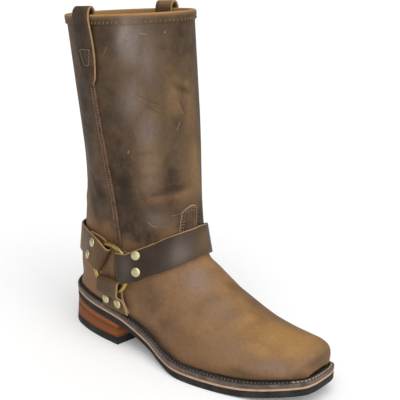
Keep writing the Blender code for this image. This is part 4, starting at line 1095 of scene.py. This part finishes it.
def make_strap(name, sheet, thickness, finishes, node):
    """Leather strap over a sheet of points (along, across), with rounded raw edges. Gives both of its faces."""
    count = sheet.shape[1]
    up = unit(np.cross(np.gradient(sheet, axis=1), np.gradient(sheet, axis=0)))
    half = np.full(count, thickness / 2)
    half[[0, -1]] *= 0.55
    high, low = sheet + up * half[:, None], sheet - up * half[:, None]
    points, faces = stack_skin(np.concatenate([high, low[:, ::-1]], axis=1))
    sides = np.tile(np.arange(2 * count), len(sheet) - 1)
    fore = (sheet[:, -1] - sheet[:, 0]).mean(0) @ (0.5, 0.0, 1.0) > 0
    border = (count - 2, count) if fore else (0, 2 * count - 2)
    raw = np.isin(sides, (count - 1, 2 * count - 1, *border))
    which = np.r_[raw, np.ones(len(faces) - len(sides), bool)].astype(int)
    piece(name, points, faces, finishes, [node], which, marks=tones(points), crease=55.0)
    return high, low


def flat_sheet(path, step=1.6):
    """Sheet of points for a flat strap along a path of (middle, half width vector)."""
    rows = smooth_line([np.r_[middle, half] for middle, half in path], step)
    edge = 1 - 0.7 / np.linalg.norm(rows[:, 3:], axis=1)[:, None]
    across = np.hstack([-np.ones_like(edge), edge * (-1, -0.5, 0, 0.5, 1), np.ones_like(edge)])
    return rows[:, None, :3] + rows[:, None, 3:] * across[..., None]


def long_strap(skin, stations, table, line, turn, shift, apex, width, steps):
    """Path of a strap from one ring to the other, folded back on itself at both ends."""
    rows = np.array(sorted(table))
    way = np.array([math.cos(math.radians(turn)), math.sin(math.radians(turn))])
    side_way = np.array([-way[1], way[0]]) * np.sign(way[0])
    low_lift = UNDER + GAP / 2 + STRAP / 2
    halves = []
    for station in stations:
        over = []
        for n, angle in enumerate(np.linspace(table[0][0], table[-1][0], steps)):
            edges = [float(along(rows[:, [0, k]], angle)) for k in (1, 2, 3)]
            place = lambda lift: across_edges(skin, line, -station.side * angle, *edges, lift)
            if n == 0:
                leaf = [place(low_lift)]
            over.append(place(low_lift + (STRAP + GAP) * max(0.0, 1 - n / 2)))
        ends = fold_path(station, way, side_way, shift, apex, width)
        ends += [tuple(a * (1 - f) + b * f for a, b in zip(ends[-1], over[0])) for f in (0.34, 0.67)]
        halves.append((leaf + ends, over))
    (near, near_over), (far, far_over) = halves
    return near + near_over + far_over[-2::-1] + far[::-1]


def lower_strap(skin, station):
    """Path of the short doubled strap from a ring down to the welt."""
    ends = fold_path(station, (0.0, -1.0), (1.0, 0.0), LOWER_SHIFT, LOWER_APEX, LOWER_WIDTH)
    x = station.at(LOWER_SHIFT, 0)[0]
    foot = feather_z(x) + LIP_RISE + 3.0

    def level(z, lift, width):
        place, out = skin.hit((x + (60 - z) * LOWER_RAKE, 0, z), (0, station.side, 0))
        fore = unit(np.array([1.0, 0, 0]) - out * out[0])
        return place + out * lift, fore * width / 2

    pinch = station.at(LOWER_SHIFT, -LOWER_PINCH)[2]
    wide, part_wide = LOWER_FOOT_WIDTH, LOWER_WIDTH * 0.8 + LOWER_FOOT_WIDTH * 0.2
    under = UNDER + 5 * GAP + STRAP / 2
    over = [level(pinch, under + STRAP + GAP, part_wide), level(foot, under + STRAP + GAP, wide)]
    leaf = [level(foot + 1.0, under, wide - 1.0), level(pinch, under, part_wide)]
    return leaf + ends + over


def make_harness(skin, stations, front, other):
    """Front and rear straps from ring to ring, and the two short ones down to the welt."""
    for name, finishes, *form in (
        ("front", front, FRONT_STRAP, FRONT_LINE, FRONT_TURN, FRONT_SHIFT, FRONT_APEX, FRONT_WIDTH, 8),
        ("rear", other, REAR_STRAP, REAR_LINE, REAR_TURN, 0.0, REAR_APEX, REAR_WIDTH, 12),
    ):
        sheet = flat_sheet(long_strap(skin, stations, *form))
        make_strap(f"strap_{name}", sheet, STRAP, finishes, f"harness_{name}_strap")
    for station, (_, label) in zip(stations, SIDES):
        make_strap(f"strap_lower_{label}", flat_sheet(lower_strap(skin, station)), STRAP, other,
                   f"harness_lower_strap_{label}")


def loop_sheet(side):
    """Sheet of points for a pull loop over the collar, from its outer foot to its inner one."""
    grid, normal, _ = upper_form(LOOP_ROWS, LOOP_COLUMNS)
    half = LOOP_COLUMNS // 2
    columns = np.arange(half + 1) + (half if side > 0 else 0)
    rim = grid[-1]
    run = run_of(rim)
    middle = run[columns[np.abs(rim[columns, 0] - SEAM_TOP[side][0]).argmin()]]
    clear = BIND_THICK + 2.6 * GAP + LOOP_THICK / 2
    flat = GAP + STRIP_THICK + GAP + LOOP_THICK / 2
    inside = -WALL - 2.5 * GAP - LOOP_THICK / 2
    core = -WALL / 2
    profile = [(flat, LOOP_OUTSIDE - up) for up, _ in LOOP_TAPER]
    profile += [(flat, BIND_DROP + 9), (clear, BIND_DROP + 2), (clear, 0.0)]
    profile += [(core + (clear - core) * math.cos(a), -1.0 - LOOP_ARCH * math.sin(a))
                for a in np.linspace(0, math.pi, 9)[1:-1]]
    profile += [(-WALL - clear, 0.0), (-WALL - clear, BIND_DROP + 2), (inside, BIND_DROP + 9), (inside, LOOP_INSIDE)]
    reach, fall = np.array(profile).T
    lines = []
    for across in LOOP_ACROSS:
        at = np.interp(middle + across, run, np.arange(len(run)))
        i, f = int(at), at - int(at)
        wall, out = ((1 - f) * v[::-1, i] + f * v[::-1, i + 1] for v in (grid, normal))
        place, way = (picked(np.maximum(fall, 0), run_of(wall), v) for v in (wall, out))
        line = place + unit(way) * reach[:, None]
        line[:, 2] += np.maximum(-fall, 0)
        lines.append(line)
    rows = np.stack(lines, 1)
    for i, (_, share) in enumerate(LOOP_TAPER):
        rows[i] = rows[i, 3] + (rows[i] - rows[i, 3]) * share
    return smooth_line(rows, 1.6)


def make_rings(stations, finish):
    """A brass ring on each side, each on a body of its own."""
    for station, (_, label) in zip(stations, SIDES):
        rounds = []
        for a in turns(84):
            spoke = station.fore * math.cos(a) + station.rise * math.sin(a)
            rounds.append([
                station.middle + spoke * RING_RADIUS + RING_ROD * (spoke * math.cos(b) + station.out * math.sin(b))
                for b in turns(20)])
        points, faces, _ = round_skin(rounds)
        piece(f"brass_ring_{label}", points, faces, (finish,), [f"ring_{label}"], body=f"ring_{label}")


def rivet_head(solid, out):
    """Points and faces of a rivet's domed head, at the place and on the axis of its solid."""
    cad = np.unique(np.round(np.array([v.co for v in solid.data.vertices]) / MM, 3), axis=0)
    axis = np.linalg.svd(cad - cad.mean(0))[2][2]
    axis *= np.sign(axis @ out)
    height = cad @ axis
    foot = cad[height < height.min() + 0.05].mean(0)
    reach, rise = np.linalg.norm(cad - foot, axis=1).max(), np.ptp(height)
    side = unit(np.cross(axis, [0.3, 0.2, 1.0]))
    up = np.cross(axis, side)
    return stack_skin([[foot + reach * r * (side * math.cos(t) + up * math.sin(t)) + axis * rise * h
                        for t in turns(28)] for r, h in RIVET_PROFILE])


def make_rivets(stations, finish):
    """All the rivets of the harness, six on each side."""
    heads = {f"rivet_{label}_{number}": station.out
             for station, (_, label) in zip(stations, SIDES) for number in range(1, 7)}
    points, faces = merged(rivet_head(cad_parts[node], out) for node, out in heads.items())
    piece("brass_rivets", points, faces, (finish,), list(heads), crease=40.0)


def round_line(inset, count):
    """The sole's edge moved inwards, as evenly spaced points in plan."""
    run = run_of(np.vstack([EDGE_LINE, EDGE_LINE[:1]]))
    loop = inset_loop(inset)
    return picked(np.linspace(0, run[-1], count, endpoint=False), run, np.vstack([loop, loop[:1]]))


def make_layer(name, inset, rises, finish, node, count=SOLE_POINTS):
    """Full-length layer of the sole. rises gives heights above the outsole's underside and their extra insets."""
    low, high = rises[0][0], rises[-1][0]
    loops = []
    for rise, extra in ((low, 12.0), (low, 5.0), *rises, (high, 5.0), (high, 12.0)):
        plan = round_line(inset + extra, count)
        loops.append(np.c_[plan, seat_z(plan[:, 0]) + rise])
    index = closed_grid(len(loops), count)
    faces = quads(index).tolist()
    bands = 59
    for row in (0, len(loops) - 1):
        x = loops[row][:, 0]
        rear, front = x.argmin(), x.argmax()
        sides = ([(rear + n) % count for n in range((front - rear) % count + 1)],
                 [(rear - n) % count for n in range((rear - front) % count + 1)])
        marks = np.linspace(x[rear], x[front], bands + 1)[1:-1]
        cuts = [[0, *(np.abs(x[side] - mark).argmin() for mark in marks), len(side) - 1] for side in sides]
        for k in range(bands):
            one, two = (side[cut[k]: cut[k + 1] + 1] for side, cut in zip(sides, cuts))
            ring = list(dict.fromkeys(one + two[::-1]))
            if len(ring) > 2:
                faces.append(index[row, ring].tolist())
    piece(name, np.vstack(loops), faces, (finish,), [node], crease=38.0)


def make_welt(finishes):
    """Welt with a stitched groove and a ribbed lip against the upper."""
    lip, none = LIP_INSET, 0.0 * LIP_INSET
    top = WELT + LIP_RISE
    rib = np.sin(np.arange(WELT_POINTS) * 2 * math.pi * WELT_RIBS / WELT_POINTS)
    lines = (
        (none + 0.35, 0.0, 0), (none, 0.3, 0), (none, WELT - 0.5, 0), (none + 0.15, WELT - 0.15, 0),
        (none + 0.5, WELT, 0), (lip * 0.54, WELT, 0), (lip * 0.54 + 0.35, WELT - 0.35, 0), (lip - 0.1, WELT - 0.3, 0),
        (lip + 0.15, WELT + 0.35, 0.15), (lip + 0.6, top - 0.15, 0.3), (lip + 1.3, top, 0.3),
        (FEATHER_INSET - 1.9, top - 0.2, 0.2), (FEATHER_INSET - 1.3, WELT, 0),
        (none + WELT_WIDTH, WELT, 0), (none + WELT_WIDTH, 0.0, 0),
    )
    rounds = []
    for inset, rise, ribbed in lines:
        plan = round_line(inset, WELT_POINTS)
        rounds.append(np.c_[plan, seat_z(plan[:, 0]) + WELT_FOOT + rise + ribbed * rib])
    points, faces, sides = round_skin(np.stack(rounds, 1))
    # The black finish on the lip and groove is partly painted shade under the upper's overhang; ahead of TOE_LEDGE
    # the groove keeps the welt's colour where the toe's front is lit.
    black_from = np.repeat(np.where(rounds[0][:, 0] > TOE_LEDGE, 9, 6), len(lines))
    which = ((sides >= black_from) & (sides < 12)).astype(int)
    piece("sole_welt", points, faces, finishes, ["welt"], which, crease=50.0)


def heel_plan(inset, flare):
    """Plan of the heel: the sole's edge behind the breast, closed by the breast."""
    outer, inner = sides_of(inset_loop(inset))
    line = np.vstack([outer[::-1], inner[1:]])
    breast = line[:, 0] - BREAST_SKEW * line[:, 1] - BREAST_X
    keep = breast < 0
    first, last = np.argmax(keep), len(keep) - np.argmax(keep[::-1])
    cut = lambda i: line[i - 1] + (line[i] - line[i - 1]) * breast[i - 1] / (breast[i - 1] - breast[i])
    inside = np.vstack([cut(first), line[keep], cut(last)])
    run = run_of(inside)
    plan = picked(np.linspace(0, run[-1], HEEL_POINTS), run, inside)
    across = plan[-1] + (plan[0] - plan[-1]) * np.linspace(0, 1, BREAST_POINTS)[1:-1, None]
    plan = np.vstack([plan, across])
    plan[:, 0] = BREAST_X + (plan[:, 0] - BREAST_X) * flare
    return plan


def make_heel(stack, rubber):
    """Lifts of the heel with a groove at each joint, and the rubber top piece under them."""
    flare = lambda k: 1 + (HEEL_FLARE - 1) * (1 - k)
    foot = CAP + GAP
    levels = [(0.0, 0.25), (0.02, 0.0)]
    for n in range(1, LIFTS):
        k = n / LIFTS
        levels += [(k - 0.03, 0.0), (k - 0.008, 0.28), (k + 0.008, 0.28), (k + 0.03, 0.0)]
    levels += [(0.985, 0.0), (1.0, 0.2)]
    fine = []
    for (k0, d0), (k1, d1) in zip(levels, levels[1:]):
        fine += [(k0 + (k1 - k0) * t, d0 + (d1 - d0) * t) for t in np.linspace(0, 1, 5 if k1 - k0 > 0.1 else 2)[:-1]]
    fine.append(levels[-1])
    loops, lift, joint = [], [], []
    for k, dip in fine:
        plan = heel_plan(HEEL_INSET + dip, flare(0.25 + 0.75 * k))
        loops.append(np.c_[plan, foot + (seat_z(plan[:, 0]) - GAP - foot) * k])
        lift += [k] * len(plan)
        joint += [0.85 if dip > 0.2 and 0.1 < k < 0.9 else 0.0] * len(plan)
    points, faces = stack_skin(loops)
    marks = {"lift": lift + [0, 1], "joint": joint + [0, 0]}
    piece("heel_lifts", points, faces, (stack,), ["heel_stack"], marks=marks, crease=40.0)
    loops = []
    for dip, k, z in ((0.5, 0.0, 0.0), (0.0, 0.02, 0.6), (0.0, 0.12, CAP / 2), (0.0, 0.24, CAP - 0.5),
                      (0.35, 0.25, CAP)):
        plan = heel_plan(HEEL_INSET + dip, flare(k))
        loops.append(np.c_[plan, np.full(len(plan), z)])
    points, faces = stack_skin(loops)
    piece("heel_top_piece", points, faces, (rubber,), ["heel_cap"], crease=40.0)


def stitch_row(points, normals, pitch, length, radius, slant=0.0, lift=0.2):
    """Points and faces of a row of short arched stitches along a line on a surface."""
    run = run_of(points)
    at = np.arange(pitch / 2, run[-1], pitch)
    middle, up = picked(at, run, points), unit(picked(at, run, normals))
    way = picked(at + 0.4, run, points) - picked(at - 0.4, run, points)
    way = unit(way - up * (way * up).sum(1)[:, None])
    side = np.cross(up, way)
    c, s = math.cos(math.radians(slant)), math.sin(math.radians(slant))
    way, side = way * c + side * s, side * c - way * s
    angles = turns(6)
    made = [middle + way * (share * length) + side * (r * radius * math.cos(a))
            + up * (lift + radius * h + r * radius * math.sin(a)) for share, r, h in STITCH_PROFILE for a in angles]
    index = closed_grid(len(STITCH_PROFILE), len(angles))
    one = [*quads(index), index[0, -2::-1], index[-1, :-1]]
    return merged((stitch, one) for stitch in np.stack(made, 1))


def make_thread(name, rows, finishes, kinds=None):
    """All the stitches of one seam or kind as one piece. kinds gives the number of each row's finish."""
    made = [stitch_row(*row) for row in rows]
    which = [kind for kind, (_, faces) in zip(kinds or [0] * len(rows), made) for _ in faces]
    points, faces = merged(made)
    piece(name, points, faces, finishes, which=which, crease=80.0)


def lifted(hits, lift):
    """Points that stand off hits on a surface, with the normals there."""
    place, normal = (np.array([hit[k] for hit in hits]) for k in (0, 1))
    return place + normal * lift, normal


def hem(at, skin, first, last, low, high, rising, over):
    """Hits up one side of a panel, over its top and down its other side."""
    up = np.linspace(low, high, rising)
    return ([at(skin, first, s) for s in up] + [at(skin, f, high) for f in np.linspace(first, last, over)[1:-1]]
            + [at(skin, last, s) for s in up[::-1]])


def loop_seam(high, low):
    """Rows of stitches of the figure on a pull loop's outer leaf, from both faces of the loop."""
    sheet = max(high, low, key=lambda face: np.linalg.norm(face[4, 3, :2] - 35))
    up = unit(np.cross(np.gradient(sheet, axis=1), np.gradient(sheet, axis=0)))
    up *= np.sign(up[4, 3, 1] * sheet[4, 3, 1])
    fall = run_of(sheet[:, 3])

    def spot(below, across):
        """Hit on the leaf, by distance down from the rim and across."""
        i = np.interp(LOOP_OUTSIDE - below, fall, np.arange(len(fall)))
        j = np.interp(across, LOOP_ACROSS, np.arange(len(LOOP_ACROSS)))
        a, b = int(i), int(min(j, len(LOOP_ACROSS) - 2))
        f, g = i - a, j - b
        cell = lambda v: ((1 - f) * ((1 - g) * v[a, b] + g * v[a, b + 1])
                          + f * ((1 - g) * v[a + 1, b] + g * v[a + 1, b + 1]))
        return cell(sheet), cell(up)

    for (d0, c0), (d1, c1) in zip(LOOP_SEAM, LOOP_SEAM[1:]):
        hits = [spot(d0 + (d1 - d0) * t, c0 + (c1 - c0) * t) for t in np.linspace(0, 1, 12)]
        yield (*lifted(hits, 0.0), *STITCHES["loop"])


def make_stitching(skin, collar, loops, pale, tan, grey, painted_lit_thread):
    """Every row of stitches, as one piece for each seam or kind."""
    make_thread("collar_stitches", [(*collar, *STITCHES["collar"])], (tan,))
    edge = STRIP_WIDTH / 2 - 0.9
    rows = []
    for side, _ in SIDES:
        for across in (-edge, edge):
            hits = [strip_at(skin, side, s, across) for s in np.linspace(0.02, 0.98, 120)]
            rows.append((*lifted(hits, GAP + STRIP_THICK), *STITCHES["strip"]))
    make_thread("strip_stitches", rows, (pale,))
    rows = []
    for inset in (0.2, 0.42):
        hits = hem(tab_at, skin, -1 + inset, 1 - inset, 0.05, 1 - inset * 0.35, 40, 60)
        rows.append((*lifted(hits, GAP + TAB_THICK), *STITCHES["tab"]))
    for inset in (1.8, 4.4):
        first, last = COUNTER_FROM - 1.05 * inset, COUNTER_FROM - COUNTER_ARC + 1.05 * inset
        hits = hem(counter_at, skin, first, last, 0.04, 1 - inset / 60, 60, 260)
        rows.append((*lifted(hits, 2 * GAP + COUNTER_THICK), *STITCHES["counter"]))
    make_thread("panel_stitches", rows, (pale,))
    make_thread("loop_stitches", [row for faces in loops for row in loop_seam(*faces)], (pale,))
    plan = round_line(0.8 * LIP_INSET, 900)
    line = np.c_[plan, seat_z(plan[:, 0]) + WELT_FOOT + WELT - 0.3]
    up = np.tile([0.0, 0.0, 1.0], (len(line), 1))
    # Ahead of TOE_LEDGE the welt stitches take a lighter copy of the thread, painted light where the toe's front is
    # lit
    toe = np.flatnonzero(line[:, 0] > TOE_LEDGE)
    spans = slice(0, toe[0] + 1), slice(toe[0], toe[-1] + 1), slice(toe[-1], None)
    rows = [(line[span], up[span], *STITCHES["welt"]) for span in spans]
    make_thread("welt_stitches", rows, (grey, painted_lit_thread), (0, 1, 0))


def colour(label, about, default):
    """Property for a colour."""
    return bpy.props.FloatVectorProperty(name=label, description=about, subtype="COLOR", size=3, min=0.0, max=1.0,
                                         default=default)


def number(label, about, default, **kind):
    """Property for a number, with its unit or subtype."""
    return bpy.props.FloatProperty(name=label, description=about, default=default, **kind)


class BootColours(bpy.types.PropertyGroup):
    """Colours of the boot's leathers, thread, rubber and brass."""

    saddle: colour("Saddle", "Common brown of the upper", (0.23, 0.128, 0.062))
    deep: colour("Deep", "Brown in the clouded parts of the hide", (0.165, 0.09, 0.043))
    # Common brown of the shaft, also laid as painted shade on the toe's front face
    umber: colour("Umber", "Common brown of the shaft", (0.08, 0.0495, 0.028))
    # Rubbed toe, vamp and collar rim, and painted light on the inner pull loop
    gold: colour("Gold", "Rubbed toe and vamp", (0.41, 0.225, 0.078))
    # Oil-darkened leather, and painted shade beside the outer lower strap
    dark: colour("Dark", "Oily parts of the shaft", (0.036, 0.023, 0.0145))
    # Rubs along the front, and partly a painted reflection along the back of the shaft
    tan: colour("Tan", "Rubs along the front", (0.2, 0.12, 0.052))
    # Painted sheen: the grey highlight painted where the waxed leather catches the light
    bloom: colour("Bloom", "Waxy grey cast", (0.212, 0.166, 0.146))
    # Scratches and scuffs, and the painted highlights beside the wrinkles
    rub: colour("Scratch", "Scratches and scuffs", (0.3, 0.19, 0.1))
    strap: colour("Strap", "Harness, loops and collar", (0.03, 0.0195, 0.0135))
    strap_worn: colour("Worn strap", "Lighter parts of the harness", (0.046, 0.031, 0.0215))
    strap_light: colour("Light strap", "Rear and lower straps", (0.1, 0.052, 0.022))
    strap_rub: colour("Rubbed strap", "Rubbed parts of the harness", (0.15, 0.093, 0.04))
    strip: colour("Strip", "Strips of the side seams", (0.115, 0.058, 0.033))
    raw: colour("Raw edge", "Cut edges of the leather", (0.33, 0.205, 0.1))
    raw_deep: colour("Raw edge, deep", "Fibres in the cut edges", (0.2, 0.12, 0.055))
    middle: colour("Midsole", "Edge of the midsole", (0.52, 0.34, 0.235))
    lining: colour("Lining", "Inside of the shaft", (0.20, 0.13, 0.085))
    lining_deep: colour("Lining, deep", "Worn parts of the lining", (0.12, 0.075, 0.05))
    welt: colour("Welt", "Ledge and edge of the welt", (0.13, 0.098, 0.078))
    welt_deep: colour("Welt, deep", "Dark parts of the welt", (0.055, 0.042, 0.035))
    welt_dust: colour("Welt, dusty", "Dust on the welt", (0.21, 0.165, 0.14))
    # Black, partly painted shade where the upper overhangs the welt
    groove: colour("Groove", "Groove and lip of the welt", (0.016, 0.014, 0.013))
    stack: colour("Heel", "Lifts of the heel", (0.235, 0.078, 0.026))
    stack_deep: colour("Heel, deep", "Darker lifts", (0.135, 0.042, 0.015))
    stack_light: colour("Heel, light", "Fibres of the lifts", (0.36, 0.125, 0.045))
    stack_joint: colour("Heel joint", "Lines between the lifts", (0.09, 0.03, 0.014))
    rubber: colour("Rubber", "Outsole and heel cap", (0.013, 0.013, 0.0118))
    rubber_dust: colour("Rubber, dusty", "Dust on the rubber", (0.04, 0.038, 0.034))
    ring: colour("Ring", "Brass of the rings", (0.44, 0.31, 0.09))
    ring_deep: colour("Ring, deep", "Dull brass of the rings", (0.24, 0.16, 0.05))
    rivet: colour("Rivet", "Brass of the rivets", (0.56, 0.5, 0.29))
    rivet_deep: colour("Rivet, deep", "Dull brass of the rivets", (0.34, 0.29, 0.16))
    thread_pale: colour("Seam thread", "Thread of strips, panels and loops", (0.3, 0.2, 0.135))
    thread_tan: colour("Collar thread", "Thread of the collar", (0.27, 0.155, 0.075))
    thread_grey: colour("Welt thread", "Thread of the welt", (0.13, 0.118, 0.105))
    # The welt thread painted lighter where the toe's front is lit
    thread_painted_lit: colour("Toe thread", "Thread of the welt before the toe", (0.46, 0.39, 0.3))


class BootStage(bpy.types.PropertyGroup):
    """Camera, light and floor round the boot."""

    camera: bpy.props.FloatVectorProperty(name="Camera", description="Place of the camera", subtype="TRANSLATION",
                                          unit="LENGTH", size=3, default=(0.58006, -0.53879, 0.38362))
    turn: number("Turn", "Heading of the camera", math.radians(40.98), subtype="ANGLE")
    tilt: number("Tilt", "Tilt of the camera up from straight down", math.radians(72.35), subtype="ANGLE")
    lens: number("Lens", "Focal length", 72.77, unit="CAMERA")
    sky: number("Sky", "Strength of the light from all round", 0.44)
    key: number("Key", "Strength of the main light", 1.7)
    floor: colour("Floor", "Colour of the floor", (0.98, 0.98, 0.98))
    glow: number("Floor glow", "Light the floor gives off", 0.1)
    floor_size: number("Floor size", "Side of the floor", 30.0, unit="LENGTH")


@functools.cache
def skin_of_upper():
    """The upper's outer face and the rings' seats, worked out once."""
    skin = Skin()
    return skin, [Station(skin, side) for side, _ in SIDES]


class BOOT_OT_stage(bpy.types.Operator):
    """Camera at the photograph's angle, soft studio light and a pale floor"""

    bl_idname, bl_label = "boot.stage", "Stage"

    def execute(self, context):
        stage, scene = context.scene.boot_stage, context.scene
        made = bpy.data.objects.new("camera", bpy.data.cameras.new("camera"))
        made.data.sensor_width, made.data.lens = 36.0, stage.lens
        made.data.clip_start, made.data.clip_end = 0.01, 100.0
        made.location, made.rotation_euler = stage.camera, (stage.tilt, 0.0, stage.turn)
        scene.collection.objects.link(made)
        scene.camera = made
        scene.view_settings.view_transform = "Standard"
        world = bpy.data.worlds.new("studio")
        world.use_nodes = True
        world.node_tree.nodes["Background"].inputs["Color"].default_value = (1.0, 1.0, 1.0, 1.0)
        world.node_tree.nodes["Background"].inputs["Strength"].default_value = stage.sky
        scene.world = world
        for name, strength, spread, way in (
            ("key", stage.key, 60.0, (0.40, -0.30, 0.90)),
            ("front", 0.5 * stage.key, 30.0, (0.70, -0.68, 0.08)),
            ("side", 0.45 * stage.key, 30.0, (0.97, -0.20, 0.22)),
        ):
            sun = bpy.data.objects.new(name, bpy.data.lights.new(name, "SUN"))
            sun.data.energy, sun.data.angle = strength, math.radians(spread)
            sun.rotation_euler = Vector(way).to_track_quat("Z", "Y").to_euler()
            scene.collection.objects.link(sun)
        half = stage.floor_size / 2
        mesh = bpy.data.meshes.new("floor")
        mesh.from_pydata([(-half, -half, 0), (half, -half, 0), (half, half, 0), (-half, half, 0)], [], [(0, 1, 2, 3)])
        p = Paint("floor")
        cloud = p.mottle(400, 3.0)
        pale = tuple(stage.floor)
        mesh.materials.append(p.finish(p.blend(0.3 * cloud, pale, [0.97 * c for c in pale]), 0.8 + 0.1 * cloud,
                                       Emission_Color=(1.0, 1.0, 1.0, 1.0), Emission_Strength=stage.glow))
        floor = bpy.data.objects.new("floor", mesh)
        scene.collection.objects.link(floor)
        return {"FINISHED"}


class BOOT_OT_upper(bpy.types.Operator):
    """Upper with its creases, tones and lining, and the panels sewn on it"""

    bl_idname, bl_label = "boot.upper", "Upper"

    def execute(self, context):
        look, (skin, _) = context.scene.boot_colours, skin_of_upper()
        strokes = [(skin.round(SHAFT_LINE, a, z)[0], skin.round(SHAFT_LINE, b, y)[0], wide, strength)
                   for a, z, b, y, wide, strength in STROKES]
        strokes += [(vamp_at(skin, x, a), vamp_at(skin, y, b), wide, strength)
                    for x, a, y, b, wide, strength in VAMP_STROKES]
        leather = oiled_leather("oiled_leather", look, strokes)
        make_upper(skin, (leather, lining("shaft_lining", look)))
        make_panels(skin, oiled_leather("panel_leather", look), strip_leather("seam_strip", look),
                    raw_leather("panel_edge", look.raw, look.raw_deep))
        return {"FINISHED"}


class BOOT_OT_harness(bpy.types.Operator):
    """Straps of the harness"""

    bl_idname, bl_label = "boot.harness", "Harness"

    def execute(self, context):
        look, (skin, stations) = context.scene.boot_colours, skin_of_upper()
        raw = raw_leather("strap_edge", look.raw, look.raw_deep)
        make_harness(skin, stations, (strap_leather("strap_leather", look, look.strap, look.strap_worn), raw),
                     (strap_leather("light_strap_leather", look, look.strap_light, look.strap_rub), raw))
        return {"FINISHED"}


class BOOT_OT_hardware(bpy.types.Operator):
    """Brass rings and rivets"""

    bl_idname, bl_label = "boot.hardware", "Rings and rivets"

    def execute(self, context):
        look, (_, stations) = context.scene.boot_colours, skin_of_upper()
        make_rings(stations, brass("ring_brass", look.ring, look.ring_deep, 0.28))
        make_rivets(stations, brass("rivet_brass", look.rivet, look.rivet_deep, 0.34))
        return {"FINISHED"}


class BOOT_OT_collar(bpy.types.Operator):
    """Rolled collar, the pull loops over it, and all the stitching"""

    bl_idname, bl_label = "boot.collar", "Collar, loops and stitching"

    def execute(self, context):
        look, (skin, _) = context.scene.boot_colours, skin_of_upper()
        leather = oiled_leather("collar_leather", look)
        finishes = leather, raw_leather("loop_edge", look.raw, look.raw_deep)
        collar = make_binding(leather)
        loops = [make_strap(f"pull_strap_{label}", loop_sheet(side), LOOP_THICK, finishes,
                            f"pull_loop_{label}") for side, label in SIDES]
        half = lambda shade: [0.55 * c for c in shade]
        make_stitching(skin, collar, loops, *(thread(name, tuple(shade), half(shade)) for name, shade in (
            ("seam_thread", look.thread_pale), ("collar_thread", look.thread_tan), ("welt_thread", look.thread_grey),
            ("toe_thread", look.thread_painted_lit))))
        return {"FINISHED"}


class BOOT_OT_sole(bpy.types.Operator):
    """Outsole, midsole, insole, welt and heel"""

    bl_idname, bl_label = "boot.sole", "Sole and heel"

    def execute(self, context):
        look = context.scene.boot_colours
        rubber = sole_rubber("sole_rubber", look)
        trim = along(TRIM, EDGE_LINE[:, 0])
        make_layer("rubber_outsole", trim, ((0.0, 0.5), (0.5, 0.0), (OUTSOLE - 0.5, 0.0), (OUTSOLE, 0.35)), rubber,
                   "outsole")
        low = OUTSOLE + GAP
        middle = raw_leather("midsole_leather", look.middle, look.raw_deep)
        make_layer("leather_midsole", 0.2, ((low, 0.3), (low + 0.3, 0.0), (low + MIDSOLE - 0.4, 0.0),
                   (low + MIDSOLE - 0.1, 0.3)), middle, "midsole")
        low = WELT_FOOT
        inside = raw_leather("insole_leather", look.lining, look.lining_deep)
        make_layer("leather_insole", WELT_WIDTH + 4 * GAP, ((low, 0.3), (low + 0.4, 0.0), (low + INSOLE - 0.5, 0.0),
                   (low + INSOLE, 0.5)), inside, "insole", INSOLE_POINTS)
        make_welt((welt_leather("welt_leather", look), black_groove("welt_groove", look)))
        make_heel(stacked_leather("stacked_leather", look), rubber)
        return {"FINISHED"}


class BOOT_PT_panel(bpy.types.Panel):
    """Lists the boot's pieces, colours and stage"""

    bl_idname, bl_label = "BOOT_PT_panel", "Harness boot"
    bl_space_type, bl_region_type, bl_category = "VIEW_3D", "UI", "Boot"

    def draw(self, context):
        for operator in OPERATORS:
            self.layout.operator(operator.bl_idname)
        for group in (context.scene.boot_colours, context.scene.boot_stage):
            for name in group.__annotations__:
                self.layout.prop(group, name)


OPERATORS = (BOOT_OT_stage, BOOT_OT_upper, BOOT_OT_harness, BOOT_OT_hardware, BOOT_OT_collar, BOOT_OT_sole)
CLASSES = (BootColours, BootStage, *OPERATORS, BOOT_PT_panel)


def register():
    for made in CLASSES:
        bpy.utils.register_class(made)
    bpy.types.Scene.boot_colours = bpy.props.PointerProperty(type=BootColours)
    bpy.types.Scene.boot_stage = bpy.props.PointerProperty(type=BootStage)


def unregister():
    del bpy.types.Scene.boot_colours, bpy.types.Scene.boot_stage
    for made in reversed(CLASSES):
        bpy.utils.unregister_class(made)


def main():
    """Builds every piece with the defaults."""
    register()
    bpy.ops.boot.stage()
    bpy.ops.boot.upper()
    bpy.ops.boot.harness()
    bpy.ops.boot.hardware()
    bpy.ops.boot.collar()
    bpy.ops.boot.sole()


if __name__ == "__main__":
    main()
